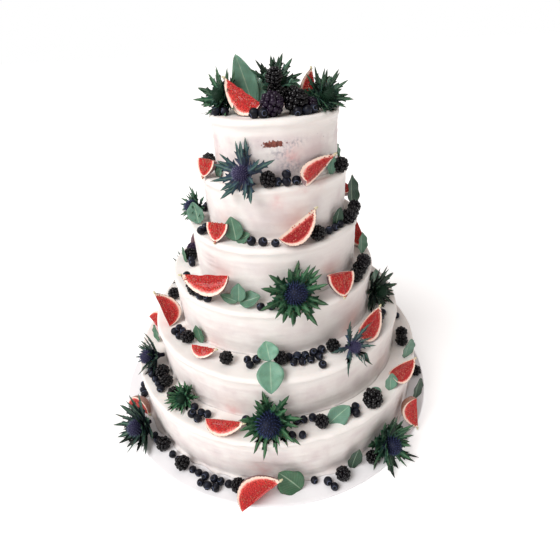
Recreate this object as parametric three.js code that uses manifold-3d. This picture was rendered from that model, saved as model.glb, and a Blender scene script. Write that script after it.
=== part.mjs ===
// A six-tier wedding cake on its round board, with a garland of fig pieces, thistles, leaves and berries
// on every ledge. Millimetres, +Z up, origin at the middle of the board's underside, front towards -Y.
//
// A ring is what carries one garland: ring 0 is the top of tier 1, ring 5 the ledge of tier 6 and ring 6
// the board. Angles go round a ring in degrees, 0 at the front and 90 at the right. "out" is the distance
// out from the wall behind the ledge, or from the middle of ring 0, and "up" the height above the ledge.
// Berries and single leaves are pressed into the icing that carries them, so they are one solid with it.
import * as THREE from "three";
import { mergeVertices } from "three/addons/utils/BufferGeometryUtils.js";
import Module from "manifold-3d";

const wasm = await Module();
wasm.setup();

// Driving dimensions
const BOARD_RADIUS = 255;
const BOARD_THICKNESS = 6;
const BOARD_EDGE = 1.5;
// Tiers from the top down: radius, height, and the offset of the middle from the board's middle
const TIERS = [
  [80, 68, 22, 1],
  [96, 65, 18, 2],
  [116, 71, 14, -1],
  [148, 68, 8, 4],
  [187, 68, 10, 0],
  [224, 78, 6, 0],
];
const TIER_SIDES = 28;
const BOARD_SIDES = 36;
// A tier's rim: how far below the top it starts, bulges most and rounds off, over a slightly inset wall
const RIM_DROP = 12;
const RIM_BULGE = 7;
const RIM_ROUND = 5;
const WALL_INSET = 2;
// The air between neighbouring solids, and how deep a berry is pressed into the icing
const GAP = 0.35;
const WALL_CLEARANCE = 0.3;
const PRESSED = 0.8;

// Berries: middle radius and how much it varies, distance along a run, and step out to a second row
const CORNER_DOWN = Math.atan(2 / (1 + Math.sqrt(5)));
const BERRY_TILT = 0.25;
const BERRY_STRAY = 1.2;
const ANGLE_STRAY = 0.1;
const CORNERS_OUT = 1.04;
const BRAMBLE_SIDES = 6;
const BRAMBLE_ROWS = 3;
const DRUPELET_OUT = 1.05;
const DRUPELET_IN = 0.93;
const BLUEBERRY = { radius: 5.4, spread: 0.5, pitch: 11.2, step: 9.2 };
const BRAMBLE = { radius: 9.2, spread: 0.7, pitch: 19, step: 9 };
const BIG_BRAMBLE = { radius: 13, spread: 0, pitch: 26, step: 9 };

// Berry runs: ring, first and last angle, out, rows, and the height of a run that lies on others
const BLUEBERRIES = [
  [0, -68, -60, 64, 2, 0], [0, -16, -4, 68, 1, 0], [0, 24, 44, 70, 1, 0], [0, 126, 136, 64, 1, 0],
  [0, -150, -140, 64, 1, 0],
  [1, 2, 16, 8, 1, 0], [1, 8.5, 8.5, 9, 1, 8], [1, 118, 130, 7, 1, 0], [1, -168, -160, 7, 1, 0],
  [2, -57, -50, 9, 2, 0], [2, -14, -14, 11, 1, 0], [2, -7, -7, 12, 1, 0], [2, 1.5, 1.5, 13, 1, 0],
  [2, 34, 52, 9, 1, 0], [2, 174, 184, 8, 1, 0], [2, -108, -98, 8, 1, 0],
  [3, -85, -80, 9, 1, 0], [3, -66, -56, 18, 1, 0], [3, -41, -35, 25, 1, 0], [3, -6, -3, 18, 1, 0],
  [3, 48, 48, 22, 1, 0], [3, 116, 124, 12, 1, 0], [3, -146, -138, 10, 1, 0], [3, 180, 188, 12, 1, 0],
  [4, -56, -50, 12, 2, 0], [4, -10.5, -6, 12, 2, 0], [4, 8, 24, 9, 1, 0], [4, 10, 22, 19, 1, 0],
  [4, 14, 18, 14, 1, 8], [4, 20.8, 20.8, 32, 1, 0], [4, 52, 66, 24, 1, 0], [4, 108, 108, 12, 1, 0],
  [4, -160, -154, 14, 1, 0], [4, -99, -99, 14, 1, 0],
  [5, -62, -49, 25, 1, 0], [5, -32, -25, 14, 1, 0], [5, -31, -27, 24, 1, 0], [5, -10.8, -10.8, 7, 1, 0],
  [5, 8, 13, 9, 1, 0], [5, 6, 10, 29, 1, 0], [5, 28, 31.5, 15, 2, 0], [5, 94, 97, 14, 1, 0],
  [5, 150, 153, 12, 1, 0], [5, -142, -138, 14, 1, 0], [5, 180, 180, 12, 1, 0],
  [6, -76, -70, 10, 1, 0], [6, -49, -44, 13, 1, 0], [6, -37.5, -34, 12, 1, 0], [6, -28, -15, 12, 1, 0],
  [6, -23, -19, 22, 1, 0], [6, 2.5, 5, 9, 1, 0], [6, 13.3, 13.3, 8, 1, 0], [6, 17, 19, 12, 2, 0],
  [6, 90, 93, 10, 1, 0], [6, 140, 140, 10, 1, 0], [6, -84, -84, 10, 1, 0], [6, -150, -147, 10, 1, 0],
];
const BRAMBLES = [
  [0, 44, 44, 60, 1, 0], [0, 12, 34, 44, 1, 9], [0, 4, 4, 42, 1, 16], [0, 4, 4, 45, 1, 29],
  [0, 158, 192, 52, 1, 0],
  [1, -5, -5, 10, 1, 0], [1, 60, 74, 10, 1, 0], [1, -96, -84, 10, 1, 0], [1, 172, 172, 10, 1, 0],
  [2, 28.5, 28.5, 12, 1, 0], [2, 62, 72, 11, 1, 0], [2, 67, 67, 11, 1, 14], [2, 82, 82, 11, 1, 0],
  [2, 158, 158, 11, 1, 0],
  [3, -97, -91, 13, 1, 0], [3, -51, -51, 20, 1, 0], [3, -46, -46, 23, 1, 0], [3, -30, -30, 25, 1, 0],
  [3, 55, 74, 14, 1, 0], [3, 64, 64, 16, 1, 13], [3, 146, 146, 14, 1, 0], [3, -174, -174, 14, 1, 0],
  [4, -87, -87, 14, 1, 0], [4, -45, -45, 15, 1, 0], [4, -19.5, -19.5, 18, 1, 0], [4, 5, 5, 12, 1, 0],
  [4, 29, 29, 14, 1, 0], [4, 98, 98, 16, 1, 0], [4, -124, -118, 16, 1, 0], [4, 180, 186, 14, 1, 0],
  [5, -57, -52, 12, 1, 0], [5, -43.5, -43.5, 18, 1, 0], [5, 16.5, 16.5, 18, 1, 0],
  [5, 75, 81, 14, 1, 0], [5, 124, 124, 16, 1, 0], [5, -106, -106, 16, 1, 0],
  [6, -43, -43, 12, 1, 0], [6, -32, -32, 13, 1, 0], [6, -11.5, -11.5, 14, 1, 0], [6, 22.5, 22.5, 13, 1, 0],
  [6, 34, 34, 12, 1, 0], [6, 47.5, 47.5, 12, 1, 0], [6, 80, 80, 12, 1, 0], [6, 106, 106, 12, 1, 0],
  [6, -110, -106, 14, 1, 0], [6, 170, 170, 13, 1, 0],
];
const BIG_BRAMBLES = [[0, 0, 26, 57, 1, 0], [5, 37.5, 37.5, 24, 1, 0]];

// Fig pieces: ring, angle, out, spin in the cut face, side of the stalk, lean back, turn, length, the angle
// cut out of the fruit, its depth from the middle as a part of its length, and how far the berries under it
// hold it up. A fig is round at its blossom end and narrows towards its stalk. Pieces wider than a quarter
// are also cut across, and stand on their stalk end.
const FIG_BLUNT = 0.5;
const FIG_TAPER = 0.8;
const FIG_WIDEST = FIG_BLUNT / (FIG_BLUNT + FIG_TAPER);
const FIG_STATIONS = 5;
const FIG_SIDES = 12;
const FIG_CLEARANCE = 1.05;
const FIG_QUARTER = 90;
const FIG_CUT_ACROSS = 0.3;
const FIGS = [
  [0, -36, 53, -29, -1, 15, 12, 54, 80, 0.44, 0],
  [0, 80, 50, -85, -1, 10, -60, 42, 80, 0.46, 0],
  [0, 178, 40, -10, 1, 30, 0, 44, 80, 0.46, 0],
  [1, -63, 8, -90, 1, 20, 20, 32, 170, 0.46, 0],
  [1, 33, 14, 217, -1, 70, -12, 66, 75, 0.27, 0],
  [1, 150, 9, 5, 1, 35, 0, 46, 80, 0.46, 0],
  [2, -38, 8, -84, 1, 25, 5, 34, 170, 0.46, 0],
  [2, 14.5, 3, 30, 1, 32, 0, 56, 80, 0.4, 3],
  [2, 118, 9, 20, 1, 30, 0, 46, 80, 0.46, 0],
  [2, -135, 9, -8, -1, 30, 0, 46, 80, 0.46, 0],
  [3, -37, 4, 3, -1, 35, 25, 62, 80, 0.42, 12],
  [3, 39.5, 19, -95, 1, 25, -12, 43, 170, 0.46, 0],
  [3, 102, 12, 60, 1, 20, 0, 44, 80, 0.46, 0],
  [3, -112, 14, 110, 1, 20, 0, 44, 80, 0.46, 0],
  [4, -63.5, 18, 98, 1, 15, 92, 55, 80, 0.46, 0],
  [4, -31, 19, 2, 1, 40, 12, 36, 80, 0.43, 0],
  [4, 49.5, 25, 27, 1, 30, -10, 54, 80, 0.4, 0],
  [4, 121, 14, 10, 1, 35, 0, 48, 80, 0.46, 0],
  [4, -143, 14, -30, -1, 30, 0, 48, 80, 0.46, 0],
  [5, -90, 22, 160, -1, 38, 55, 46, 80, 0.46, 0],
  [5, -16.5, 25, 3, 1, 40, 5, 50, 80, 0.39, 0],
  [5, 55.5, 28, 10, 1, 30, -25, 46, 80, 0.46, 0],
  [5, 112, 14, 215, -1, 30, 0, 48, 80, 0.46, 0],
  [6, -64, 20, 175, -1, 20, 40, 44, 80, 0.46, 0],
  [6, -3, 30, 214, -1, 40, 5, 59, 80, 0.46, 0],
  [6, 56, 14, -88, 1, 18, -46, 49, 80, 0.46, 0],
  [6, 120, 14, 8, 1, 35, 0, 50, 80, 0.46, 0],
  [6, -165, 14, 30, 1, 30, 0, 50, 80, 0.46, 0],
];

// Thistles: ring, angle, out, up, turn, lean back, span of the bracts and head radius
const BRACTS = 9;
const BRACT_ROOT = 0.34;
const BRACT_FORWARD = 0.08;
const BRACT_STRAY = 0.1;
const BRACT_UNEVEN = 0.14;
const HEAD_SIDES = 7;
// A thistle's outline from its stem to the top of its head: radius and height, in head radii
const THISTLE_STEM = -2.1;
const THISTLE_RINGS = [[0.45, -0.9], [1, 0.2], [0.95, 1.3]];
const THISTLE_TOP = 1.9;
const THISTLES = [
  [0, -76, 62, 17, 30, 25, 74, 7],
  [0, 28, 12, 30, 0, 35, 66, 8],
  [0, 66, 66, 14, -25, 30, 68, 8],
  [1, -22, 14, 15, -5, 25, 84, 8],
  [1, -140, 14, 14, 0, 30, 66, 8],
  [2, -80, 16, 18, 35, 20, 52, 8],
  [2, 140, 14, 14, 0, 30, 66, 9],
  [3, 12, 14, 17, 0, 35, 85, 12],
  [3, -160, 14, 16, 0, 30, 74, 11],
  [4, -109, 20, 15, 35, 20, 78, 9],
  [4, 35.5, 31, 11, 0, 30, 72, 7],
  [4, 76, 12, 22, -30, 12, 78, 9],
  [5, -66, 20, 17, 10, 20, 72, 10],
  [5, -38, 15, 10, 20, 35, 52, 6],
  [5, -1.5, 18, 16, 0, 35, 78, 13],
  [5, 136, 16, 16, 0, 30, 78, 12],
  [6, -54, 27, 15, 15, 22, 98, 10],
  [6, 40.5, 18, 18, -5, 28, 84, 10],
  [6, 155, 16, 17, 0, 30, 78, 12],
];

// Leaves: ring, angle, out, up, turn, lean back, spin, length and width
const LEAF_THICKNESS = 1;
const LEAF_CUP = 0.12;
const LEAF_BEND = 0.16;
const LEAF_LOW = 0.85;
const LEAF_FULL = 0.8;
const LEAF_ROWS = 3;
const LEAVES = [
  [0, 60, 34, -1, -30, 15, 10, 34, 24],
  [0, 84, 56, -1, -50, 10, -25, 36, 22],
  [0, -140, 46, -1, 0, 10, 15, 40, 26],
  [1, 52, 4, -1, -20, 15, -15, 22, 13],
  [1, 96, 5, -1, -20, 20, 20, 26, 20],
  [1, -62, 4, -1, 20, 12, -38, 22, 13],
  [2, 50, 4, -1, -25, 8, -12, 28, 15],
  [2, 90, 12, -1, -35, 22, -14, 46, 30],
  [2, -168, 5, -1, 0, 20, 20, 28, 22],
  [3, -86, 20, -1, 40, 10, 5, 26, 10],
  [3, 90, 12, -1, -40, 20, -15, 32, 24],
  [4, -39, 5, -1, 10, 15, 15, 28, 18],
  [4, 88, 10, -1, -40, 20, -15, 36, 26],
  [4, -172, 8, -1, 0, 20, 25, 32, 24],
  [5, -81, 14, -1, 35, 15, 10, 32, 20],
  [5, 19, 20, -1, -10, 36, -55, 36, 26],
  [5, 43.5, 20, -1, -25, 25, 55, 24, 17],
  [5, 47.5, 25, -1, -25, 25, -10, 26, 20],
  [5, 67, 22, -1, -35, 5, -5, 38, 24],
  [5, -122, 10, -1, 0, 20, -20, 34, 24],
  [5, 164, 10, -1, 0, 20, 10, 34, 24],
  [6, 26.5, 7, -1, -15, 12, -14, 38, 19],
  [6, 67, 14, -1, -35, 10, -5, 44, 20],
  [6, -95, 10, -1, 0, 20, 20, 36, 26],
];
// The largest leaves, each sprig a solid of its own
const SPRIGS = {
  leaf_top: [[0, -62, 26, 1, 50, 8, 16, 60, 30], [0, -48, 22, 1, 40, 12, -22, 46, 24]],
  leaf_tier_3_left: [[2, -69, 14, 1, 50, 15, 10, 30, 26]],
  leaf_tier_3_front: [[2, -26, 9, 1, 15, 20, 10, 30, 25], [2, -26, 9, 1, 10, 45, -60, 20, 16]],
  sprig_tier_4: [[3, -19, 15, 5, 5, 25, 0, 24, 20], [3, -18.5, 15, 5, 5, 55, -70, 28, 22],
    [3, -19.5, 15, 5, 5, 40, 75, 24, 12]],
  leaf_tier_5: [[4, 0, 20, 11, 0, 50, 12, 25, 27], [4, 0, 20, 12, 0, 62, 183, 42, 33]],
  leaf_board: [[6, 8.5, 14, 1, 0, 25, 40, 42, 36]],
};

// Colour and roughness of each kind of piece
const LOOKS = {
  icing: [0xf3ebe6, 0.6],
  board: [0xf6f4f5, 0.5],
  fig: [0xc8443c, 0.4],
  thistle: [0x2f5f45, 0.6],
  leaf: [0x5f8f78, 0.6],
};

// The same draw between -1 and 1 for the same two numbers
function draw(a, b) {
  const s = Math.sin(a * 12.9898 + b * 78.233) * 43758.5453;
  return 2 * (s - Math.floor(s)) - 1;
}

const radians = THREE.MathUtils.degToRad;

// What carries ring k: the height of its ledge, and the radius and middle of the wall behind it
function ringOf(k) {
  const below = TIERS.slice(k).reduce((sum, tier) => sum + tier[1], BOARD_THICKNESS);
  const wall = TIERS[Math.max(k - 1, 0)];
  return { z: below, radius: k ? wall[0] : 0, x: wall[2], y: wall[3] };
}

// The matrix that puts a shape made with X to the right, Y up and Z outward in its place on a ring
function seat(k, angle, out, up, turn = 0, lean = 0, spin = 0) {
  const ring = ringOf(k);
  const a = radians(angle);
  const outward = new THREE.Vector3(Math.sin(a), -Math.cos(a), 0);
  const right = new THREE.Vector3(Math.cos(a), Math.sin(a), 0);
  const place = new THREE.Vector3(ring.x, ring.y, ring.z + up).addScaledVector(outward, ring.radius + out);
  return new THREE.Matrix4()
    .makeBasis(right, new THREE.Vector3(0, 0, 1), outward)
    .setPosition(place)
    .multiply(new THREE.Matrix4().makeRotationY(radians(turn)))
    .multiply(new THREE.Matrix4().makeRotationX(-radians(lean)))
    .multiply(new THREE.Matrix4().makeRotationZ(radians(spin)));
}

function solidOf(geometry) {
  const bare = new THREE.BufferGeometry().setAttribute("position", geometry.getAttribute("position"));
  bare.setIndex(geometry.index);
  const merged = mergeVertices(bare, 1e-4);
  const mesh = new wasm.Mesh({
    numProp: 3,
    vertProperties: new Float32Array(merged.attributes.position.array),
    triVerts: new Uint32Array(merged.index.array),
  });
  mesh.merge();
  return new wasm.Manifold(mesh);
}

function geometryOf(solid) {
  const mesh = solid.getMesh();
  return new THREE.BufferGeometry()
    .setAttribute("position", new THREE.BufferAttribute(mesh.vertProperties, 3))
    .setIndex(new THREE.BufferAttribute(mesh.triVerts, 1))
    .toNonIndexed();
}

function largestOf(solid) {
  return solid.decompose().reduce((a, b) => (a.volume() > b.volume() ? a : b));
}

// A tier's outline turned round: straight wall, soft bulging rim and flat top
function tierSolid(index, grow = 0) {
  const [radius, height, x, y] = TIERS[index];
  const bottom = ringOf(index + 1).z + GAP - grow;
  const top = ringOf(index).z + grow;
  const wall = radius - WALL_INSET + grow;
  const outline = [
    [0, bottom],
    [wall, bottom],
    [wall, top - RIM_DROP],
    [radius + grow, top - RIM_BULGE],
    [radius - RIM_ROUND + grow, top],
    [0, top],
  ].map(([r, z]) => new THREE.Vector2(r, z));
  const turned = new THREE.LatheGeometry(outline, TIER_SIDES);
  turned.rotateX(Math.PI / 2).translate(x, y, 0);
  return solidOf(turned);
}

function boardSolid(grow = 0) {
  const outline = [
    [0, 0],
    [BOARD_RADIUS - BOARD_EDGE, 0],
    [BOARD_RADIUS, BOARD_EDGE],
    [BOARD_RADIUS, BOARD_THICKNESS - BOARD_EDGE],
    [BOARD_RADIUS - BOARD_EDGE, BOARD_THICKNESS + grow],
    [0, BOARD_THICKNESS + grow],
  ].map(([r, z]) => new THREE.Vector2(r, z));
  return solidOf(new THREE.LatheGeometry(outline, BOARD_SIDES).rotateX(Math.PI / 2));
}

// The middles and radii of the berries of one kind on ring k
function berriesOf(runs, kind, k) {
  const ring = ringOf(k);
  const found = [];
  runs.forEach(([on, first, last, out, rows, raised], run) => {
    if (on !== k) return;
    const pitch = (kind.pitch / (ring.radius + out)) * (180 / Math.PI) / rows;
    const count = Math.round((last - first) / pitch) + 1;
    for (let i = 0; i < count; i++) {
      const radius = kind.radius + kind.spread * draw(run, i);
      const angle = first + i * pitch + ANGLE_STRAY * pitch * draw(i, run + 0.5);
      const away = out + kind.step * (i % rows) + BERRY_STRAY * draw(run + 0.3, i);
      const up = raised + radius - PRESSED;
      const place = new THREE.Vector3().setFromMatrixPosition(seat(k, angle, away, up));
      found.push({ place, radius, seed: run + i * 0.37 });
    }
  });
  return found;
}

// A blueberry is a twenty-sided ball that stands on a corner
function blueberrySolid({ place, radius, seed }, grow) {
  const ball = new THREE.IcosahedronGeometry(radius * CORNERS_OUT + grow, 0);
  ball.rotateX(CORNER_DOWN + BERRY_TILT * draw(seed, 2)).rotateZ(seed * 9).translate(...place);
  return solidOf(ball);
}

// A bramble berry is a ball whose corners stand out and sink in turn, as its drupelets do
function brambleSolid({ place, radius, seed }, grow) {
  const ball = new THREE.SphereGeometry(1, BRAMBLE_SIDES, BRAMBLE_ROWS);
  const at = ball.attributes.position;
  for (let i = 0; i < at.count; i++) {
    const column = (i % (BRAMBLE_SIDES + 1)) % BRAMBLE_SIDES;
    const row = Math.floor(i / (BRAMBLE_SIDES + 1));
    const pole = row === 0 || row === BRAMBLE_ROWS;
    const lump = pole || (column + row) % 2 ? DRUPELET_OUT : DRUPELET_IN;
    const far = radius * lump + grow;
    at.setXYZ(i, at.getX(i) * far, at.getY(i) * far, at.getZ(i) * far);
  }
  ball.rotateX(Math.PI / 2 + BERRY_TILT * draw(seed, 1)).rotateZ(seed * 7).translate(...place);
  return solidOf(ball);
}

// A fig's radius along its length, from its blossom end at 0 to its stalk at 1, as a part of the widest
function figHalf(u) {
  const shape = (v) => v ** FIG_BLUNT * (1 - v) ** FIG_TAPER;
  return shape(u) / shape(FIG_WIDEST);
}

// A piece cut lengthwise out of a fig: its first cut face looks outward, its skin is below
function figSolid([k, angle, out, spin, stalk, lean, turn, length, wedge, depth, up]) {
  const outline = [new THREE.Vector2(0, (-stalk * length) / 2)];
  for (let i = 1; i < FIG_STATIONS; i++) {
    const u = (1 - Math.cos((Math.PI * i) / FIG_STATIONS)) / 2;
    outline.push(new THREE.Vector2(depth * length * figHalf(u), stalk * (u - 0.5) * length));
  }
  outline.push(new THREE.Vector2(0, (stalk * length) / 2));
  if (stalk < 0) outline.reverse();
  const whole = new THREE.LatheGeometry(outline, FIG_SIDES).rotateZ(-Math.PI / 2);
  const side = 2 * length;
  const front = solidOf(new THREE.BoxGeometry(side, side, side).translate(0, 0, side / 2));
  const behind = solidOf(
    new THREE.BoxGeometry(side, side, side).translate(0, 0, -side / 2).rotateX(radians(wedge)),
  );
  let body = solidOf(whole).subtract(front).subtract(behind);
  if (wedge > FIG_QUARTER) {
    const across = stalk * ((FIG_CUT_ACROSS - 0.5) * length - side / 2);
    body = body.subtract(solidOf(new THREE.BoxGeometry(side, side, side).translate(across, 0, 0)));
  }
  return restOn(k, angle, body.transform(seat(k, angle, out, 0, turn, lean, spin).elements), up);
}

// Moves a solid up until it is a height above its ledge, and out until it is clear of the wall
function restOn(k, angle, solid, up) {
  const ring = ringOf(k);
  const points = solid.getMesh().vertProperties;
  let lowest = Infinity;
  let nearest = Infinity;
  for (let i = 0; i < points.length; i += 3) {
    lowest = Math.min(lowest, points[i + 2]);
    nearest = Math.min(nearest, Math.hypot(points[i] - ring.x, points[i + 1] - ring.y));
  }
  const push = k ? Math.max(0, ring.radius + 2 * GAP - nearest) : 0;
  const a = radians(angle);
  return solid.translate(push * Math.sin(a), -push * Math.cos(a), ring.z + GAP + up - lowest);
}

// What the board stands on, which nothing reaches into
function tableSolid() {
  const side = 3 * BOARD_RADIUS;
  return solidOf(new THREE.BoxGeometry(side, side, side).translate(0, 0, GAP - side / 2));
}

function ringPoints(count, radius, height, turn) {
  return Array.from({ length: count }, (_, i) => {
    const a = (2 * Math.PI * (i + turn)) / count;
    return new THREE.Vector3(radius * Math.cos(a), radius * Math.sin(a), height);
  });
}

// The head of a thistle and its stem as one closed shape, which the berries round it leave free
function thistleCore([k, angle, out, up, turn, lean, span, head], grow = 0) {
  const size = head + grow;
  const outline = [
    [0, THISTLE_STEM],
    ...THISTLE_RINGS,
    [0, THISTLE_TOP],
  ].map(([radius, height]) => new THREE.Vector2(radius * size, height * size));
  const core = new THREE.LatheGeometry(outline, HEAD_SIDES).rotateX(Math.PI / 2);
  return solidOf(core).transform(seat(k, angle, out, up, turn, lean).elements);
}

// A thistle: an oval head in a star of pointed bracts, on a short stem that runs back to the icing
function thistleSolid([k, angle, out, up, turn, lean, span, head], seed) {
  const rings = THISTLE_RINGS.map(([radius, height]) => ringPoints(BRACTS, radius * head, height * head, 0));
  const roots = ringPoints(BRACTS, (BRACT_ROOT * span) / 2, 0, 0);
  const tips = ringPoints(BRACTS, span / 2, 0, 0.5).map((tip, i) => {
    const long = tip.multiplyScalar(1 + BRACT_UNEVEN * draw(seed, i));
    return long.setZ(span * (BRACT_FORWARD + BRACT_STRAY * draw(i, seed + 2)));
  });
  const top = new THREE.Vector3(0, 0, THISTLE_TOP * head);
  const stem = new THREE.Vector3(0, 0, THISTLE_STEM * head);
  const points = [top, stem, ...rings.flat(), ...roots, ...tips];
  const at = (ring, i) => 2 + ring * BRACTS + (i % BRACTS);
  const index = [];
  for (let i = 0; i < BRACTS; i++) {
    const [back, front, crown, root, tip] = [0, 1, 2, 3, 4].map((ring) => at(ring, i));
    const [backNext, frontNext, crownNext, rootNext] = [0, 1, 2, 3].map((ring) => at(ring, i + 1));
    index.push(0, crown, crownNext, crown, front, frontNext, crown, frontNext, crownNext);
    index.push(front, root, tip, front, tip, frontNext, frontNext, tip, rootNext);
    index.push(back, tip, root, back, backNext, tip, backNext, rootNext, tip, 1, backNext, back);
  }
  const whole = solidOf(new THREE.BufferGeometry().setFromPoints(points).setIndex(index));
  return whole.transform(seat(k, angle, out, up, turn, lean).elements);
}

// A leaf: a thin blade from its foot at the origin up to its tip, cupped across and bent along
function leafSolid([k, angle, out, up, turn, lean, spin, length, width], grow = 0) {
  const thick = LEAF_THICKNESS / 2 + grow;
  const rows = [[0, 0]];
  for (let i = 1; i < LEAF_ROWS; i++) {
    const u = i / LEAF_ROWS;
    rows.push([u, Math.sin(Math.PI * u ** LEAF_LOW) ** LEAF_FULL]);
  }
  rows.push([1, 0]);
  const points = [];
  for (const side of [1, -1]) {
    for (const [u, spread] of rows) {
      const columns = spread ? [-1, 0, 1] : [0];
      for (const c of columns) {
        const x = c * spread * (width / 2 + grow);
        const z = side * thick + LEAF_CUP * width * c * c * spread + LEAF_BEND * length * u * u;
        points.push(new THREE.Vector3(x, u * (length + grow), z));
      }
    }
  }
  const face = 3 * (LEAF_ROWS - 1) + 2;
  const tip = face - 1;
  const index = [0, 2, 1, 0, 3, 2, tip, tip - 3, tip - 2, tip, tip - 2, tip - 1];
  for (let i = 0; i < LEAF_ROWS - 2; i++) {
    for (const c of [1, 2]) {
      const p = 3 * i + c;
      index.push(p, p + 1, p + 4, p, p + 4, p + 3);
    }
  }
  const back = [];
  for (let i = 0; i < index.length; i += 3) {
    back.push(index[i] + face, index[i + 2] + face, index[i + 1] + face);
  }
  const left = [0, ...Array.from({ length: LEAF_ROWS - 1 }, (_, i) => 3 * i + 1), tip];
  const right = [0, ...Array.from({ length: LEAF_ROWS - 1 }, (_, i) => 3 * i + 3), tip];
  const rim = [];
  for (let i = 0; i < LEAF_ROWS; i++) {
    const [a, b] = [left[i], left[i + 1]];
    const [c, d] = [right[i], right[i + 1]];
    rim.push(a, b, b + face, a, b + face, a + face, c, d + face, d, c, c + face, d + face);
  }
  const blade = new THREE.BufferGeometry().setFromPoints(points).setIndex([...index, ...back, ...rim]);
  return solidOf(blade).transform(seat(k, angle, out, up, turn, lean, spin).elements);
}

// A fig piece swollen about its middle, for the air round it
function largerFig(solid) {
  const box = solid.boundingBox();
  const middle = box.min.map((low, i) => (low + box.max[i]) / 2);
  const back = middle.map((value) => -value);
  return solid.translate(back).scale(FIG_CLEARANCE).translate(middle);
}

function meets(a, b) {
  return a.intersect(b).volume() > 0;
}

function union(solids) {
  return wasm.Manifold.union(solids);
}

// Places the berries of ring k that fit between the solid things, as functions of how much they grow
function berrySolids(k, solidThings) {
  const kinds = [
    [BRAMBLES, BRAMBLE, brambleSolid],
    [BIG_BRAMBLES, BIG_BRAMBLE, brambleSolid],
    [BLUEBERRIES, BLUEBERRY, blueberrySolid],
  ];
  return kinds
    .flatMap(([runs, kind, make]) => berriesOf(runs, kind, k).map((berry) => (grow) => make(berry, grow)))
    .filter((berry) => !meets(berry(GAP), solidThings));
}

const cake = new THREE.Group();

function addPiece(name, solid, look) {
  const [color, roughness] = LOOKS[look];
  const material = new THREE.MeshStandardMaterial({ color, roughness, metalness: 0 });
  const mesh = new THREE.Mesh(geometryOf(solid), material);
  mesh.name = name;
  cake.add(mesh);
}

// Adds ring k and what carries it. Figs and sprigs give way to the walls, thistles to all the rest, and
// a berry that would touch a fig, a sprig or a thistle's head is left out.
function addRing(k, hanging) {
  const isBoard = k === TIERS.length;
  const on = (row) => row[0] === k;
  const carrier = (grow) => (isBoard ? boardSolid(grow) : tierSolid(k, grow));
  const wall = k ? [tierSolid(k - 1, WALL_CLEARANCE)] : [];
  const figs = FIGS.filter(on).map(figSolid);
  const largeFigs = figs.map(largerFig);
  const heads = THISTLES.filter(on).map((row) => thistleCore(row, GAP));
  const sprigs = Object.entries(SPRIGS).filter(([, leaves]) => on(leaves[0]));
  const largeSprigs = sprigs.flatMap(([, leaves]) => leaves.map((leaf) => leafSolid(leaf, GAP)));

  const solidThings = union([...largeFigs, ...heads, ...largeSprigs, ...wall, ...hanging]);
  const pressed = [
    ...berrySolids(k, solidThings),
    ...LEAVES.filter(on).map((leaf) => (grow) => leafSolid(leaf, grow)),
  ];
  const icing = union([carrier(0), ...pressed.map((make) => make(0))]).subtract(solidThings);
  addPiece(isBoard ? "board" : `tier_${k + 1}`, largestOf(icing), isBoard ? "board" : "icing");

  figs.forEach((solid, i) => addPiece(`fig_${FIGS.findIndex(on) + i + 1}`, solid, "fig"));
  const taken = union([carrier(GAP), ...wall, ...largeFigs]);
  for (const [name, leaves] of sprigs) {
    const blades = union(leaves.map((leaf) => leafSolid(leaf)));
    addPiece(name, largestOf(blades.subtract(taken)), "leaf");
  }
  const table = isBoard ? [tableSolid()] : [];
  const room = union([taken, ...table, ...largeSprigs, ...hanging, ...pressed.map((make) => make(GAP))]);
  THISTLES.forEach((row, i) => {
    if (!on(row)) return;
    addPiece(`thistle_${i + 1}`, largestOf(thistleSolid(row, i).subtract(room)), "thistle");
  });
  return largeSprigs;
}

// A leaf that hangs over a rim also keeps the ring below clear
let hanging = [];
for (let k = 0; k <= TIERS.length; k++) {
  hanging = addRing(k, hanging);
}

export default cake;
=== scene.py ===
# The looks of a six-tier wedding cake with a garland of fig pieces, thistles, leaves and berries on
# every ledge. Shapes are worked out in millimetres and become metres in Heap.piece.
#
# A ring carries one garland: ring 0 is the top of tier 1, ring 5 the ledge of tier 6 and ring 6 the
# board. Angles go round a ring in degrees, 0 at the front and 90 at the right. "out" is the distance out
# from the wall behind the ledge, or from the middle of ring 0, and "up" the height above the ledge.
import itertools
import math
from collections import namedtuple

import bmesh
import bpy
import numpy as np
from mathutils import Matrix, Vector
from mathutils.bvhtree import BVHTree


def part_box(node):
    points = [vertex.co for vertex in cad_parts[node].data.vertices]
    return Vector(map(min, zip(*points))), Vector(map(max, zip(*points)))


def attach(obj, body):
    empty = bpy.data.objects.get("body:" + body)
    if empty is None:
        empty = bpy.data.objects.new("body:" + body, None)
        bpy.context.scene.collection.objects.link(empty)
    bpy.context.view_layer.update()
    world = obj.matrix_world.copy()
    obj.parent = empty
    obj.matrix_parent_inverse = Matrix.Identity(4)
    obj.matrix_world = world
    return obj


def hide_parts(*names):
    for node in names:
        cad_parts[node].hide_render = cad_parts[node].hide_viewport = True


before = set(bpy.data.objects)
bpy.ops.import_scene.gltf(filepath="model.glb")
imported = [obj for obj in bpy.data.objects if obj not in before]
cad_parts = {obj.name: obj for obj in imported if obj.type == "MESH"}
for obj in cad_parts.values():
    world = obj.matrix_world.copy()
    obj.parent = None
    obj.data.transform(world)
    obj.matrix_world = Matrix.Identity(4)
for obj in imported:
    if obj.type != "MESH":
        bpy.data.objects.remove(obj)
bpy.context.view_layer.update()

MM = 0.001

BOARD_RADIUS = 255
BOARD_THICKNESS = 6
# Tiers from the top down: radius, height, and the offset of the middle from the board's middle
TIERS = [
    (80, 68, 22, 1),
    (96, 65, 18, 2),
    (116, 71, 14, -1),
    (148, 68, 8, 4),
    (187, 68, 10, 0),
    (224, 78, 6, 0),
]
CARRIERS = [f"tier_{i + 1}" for i in range(len(TIERS))] + ["board"]
WALL_INSET = 2
# How deep a berry is pressed into what it lies on
PRESSED = 0.8

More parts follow.
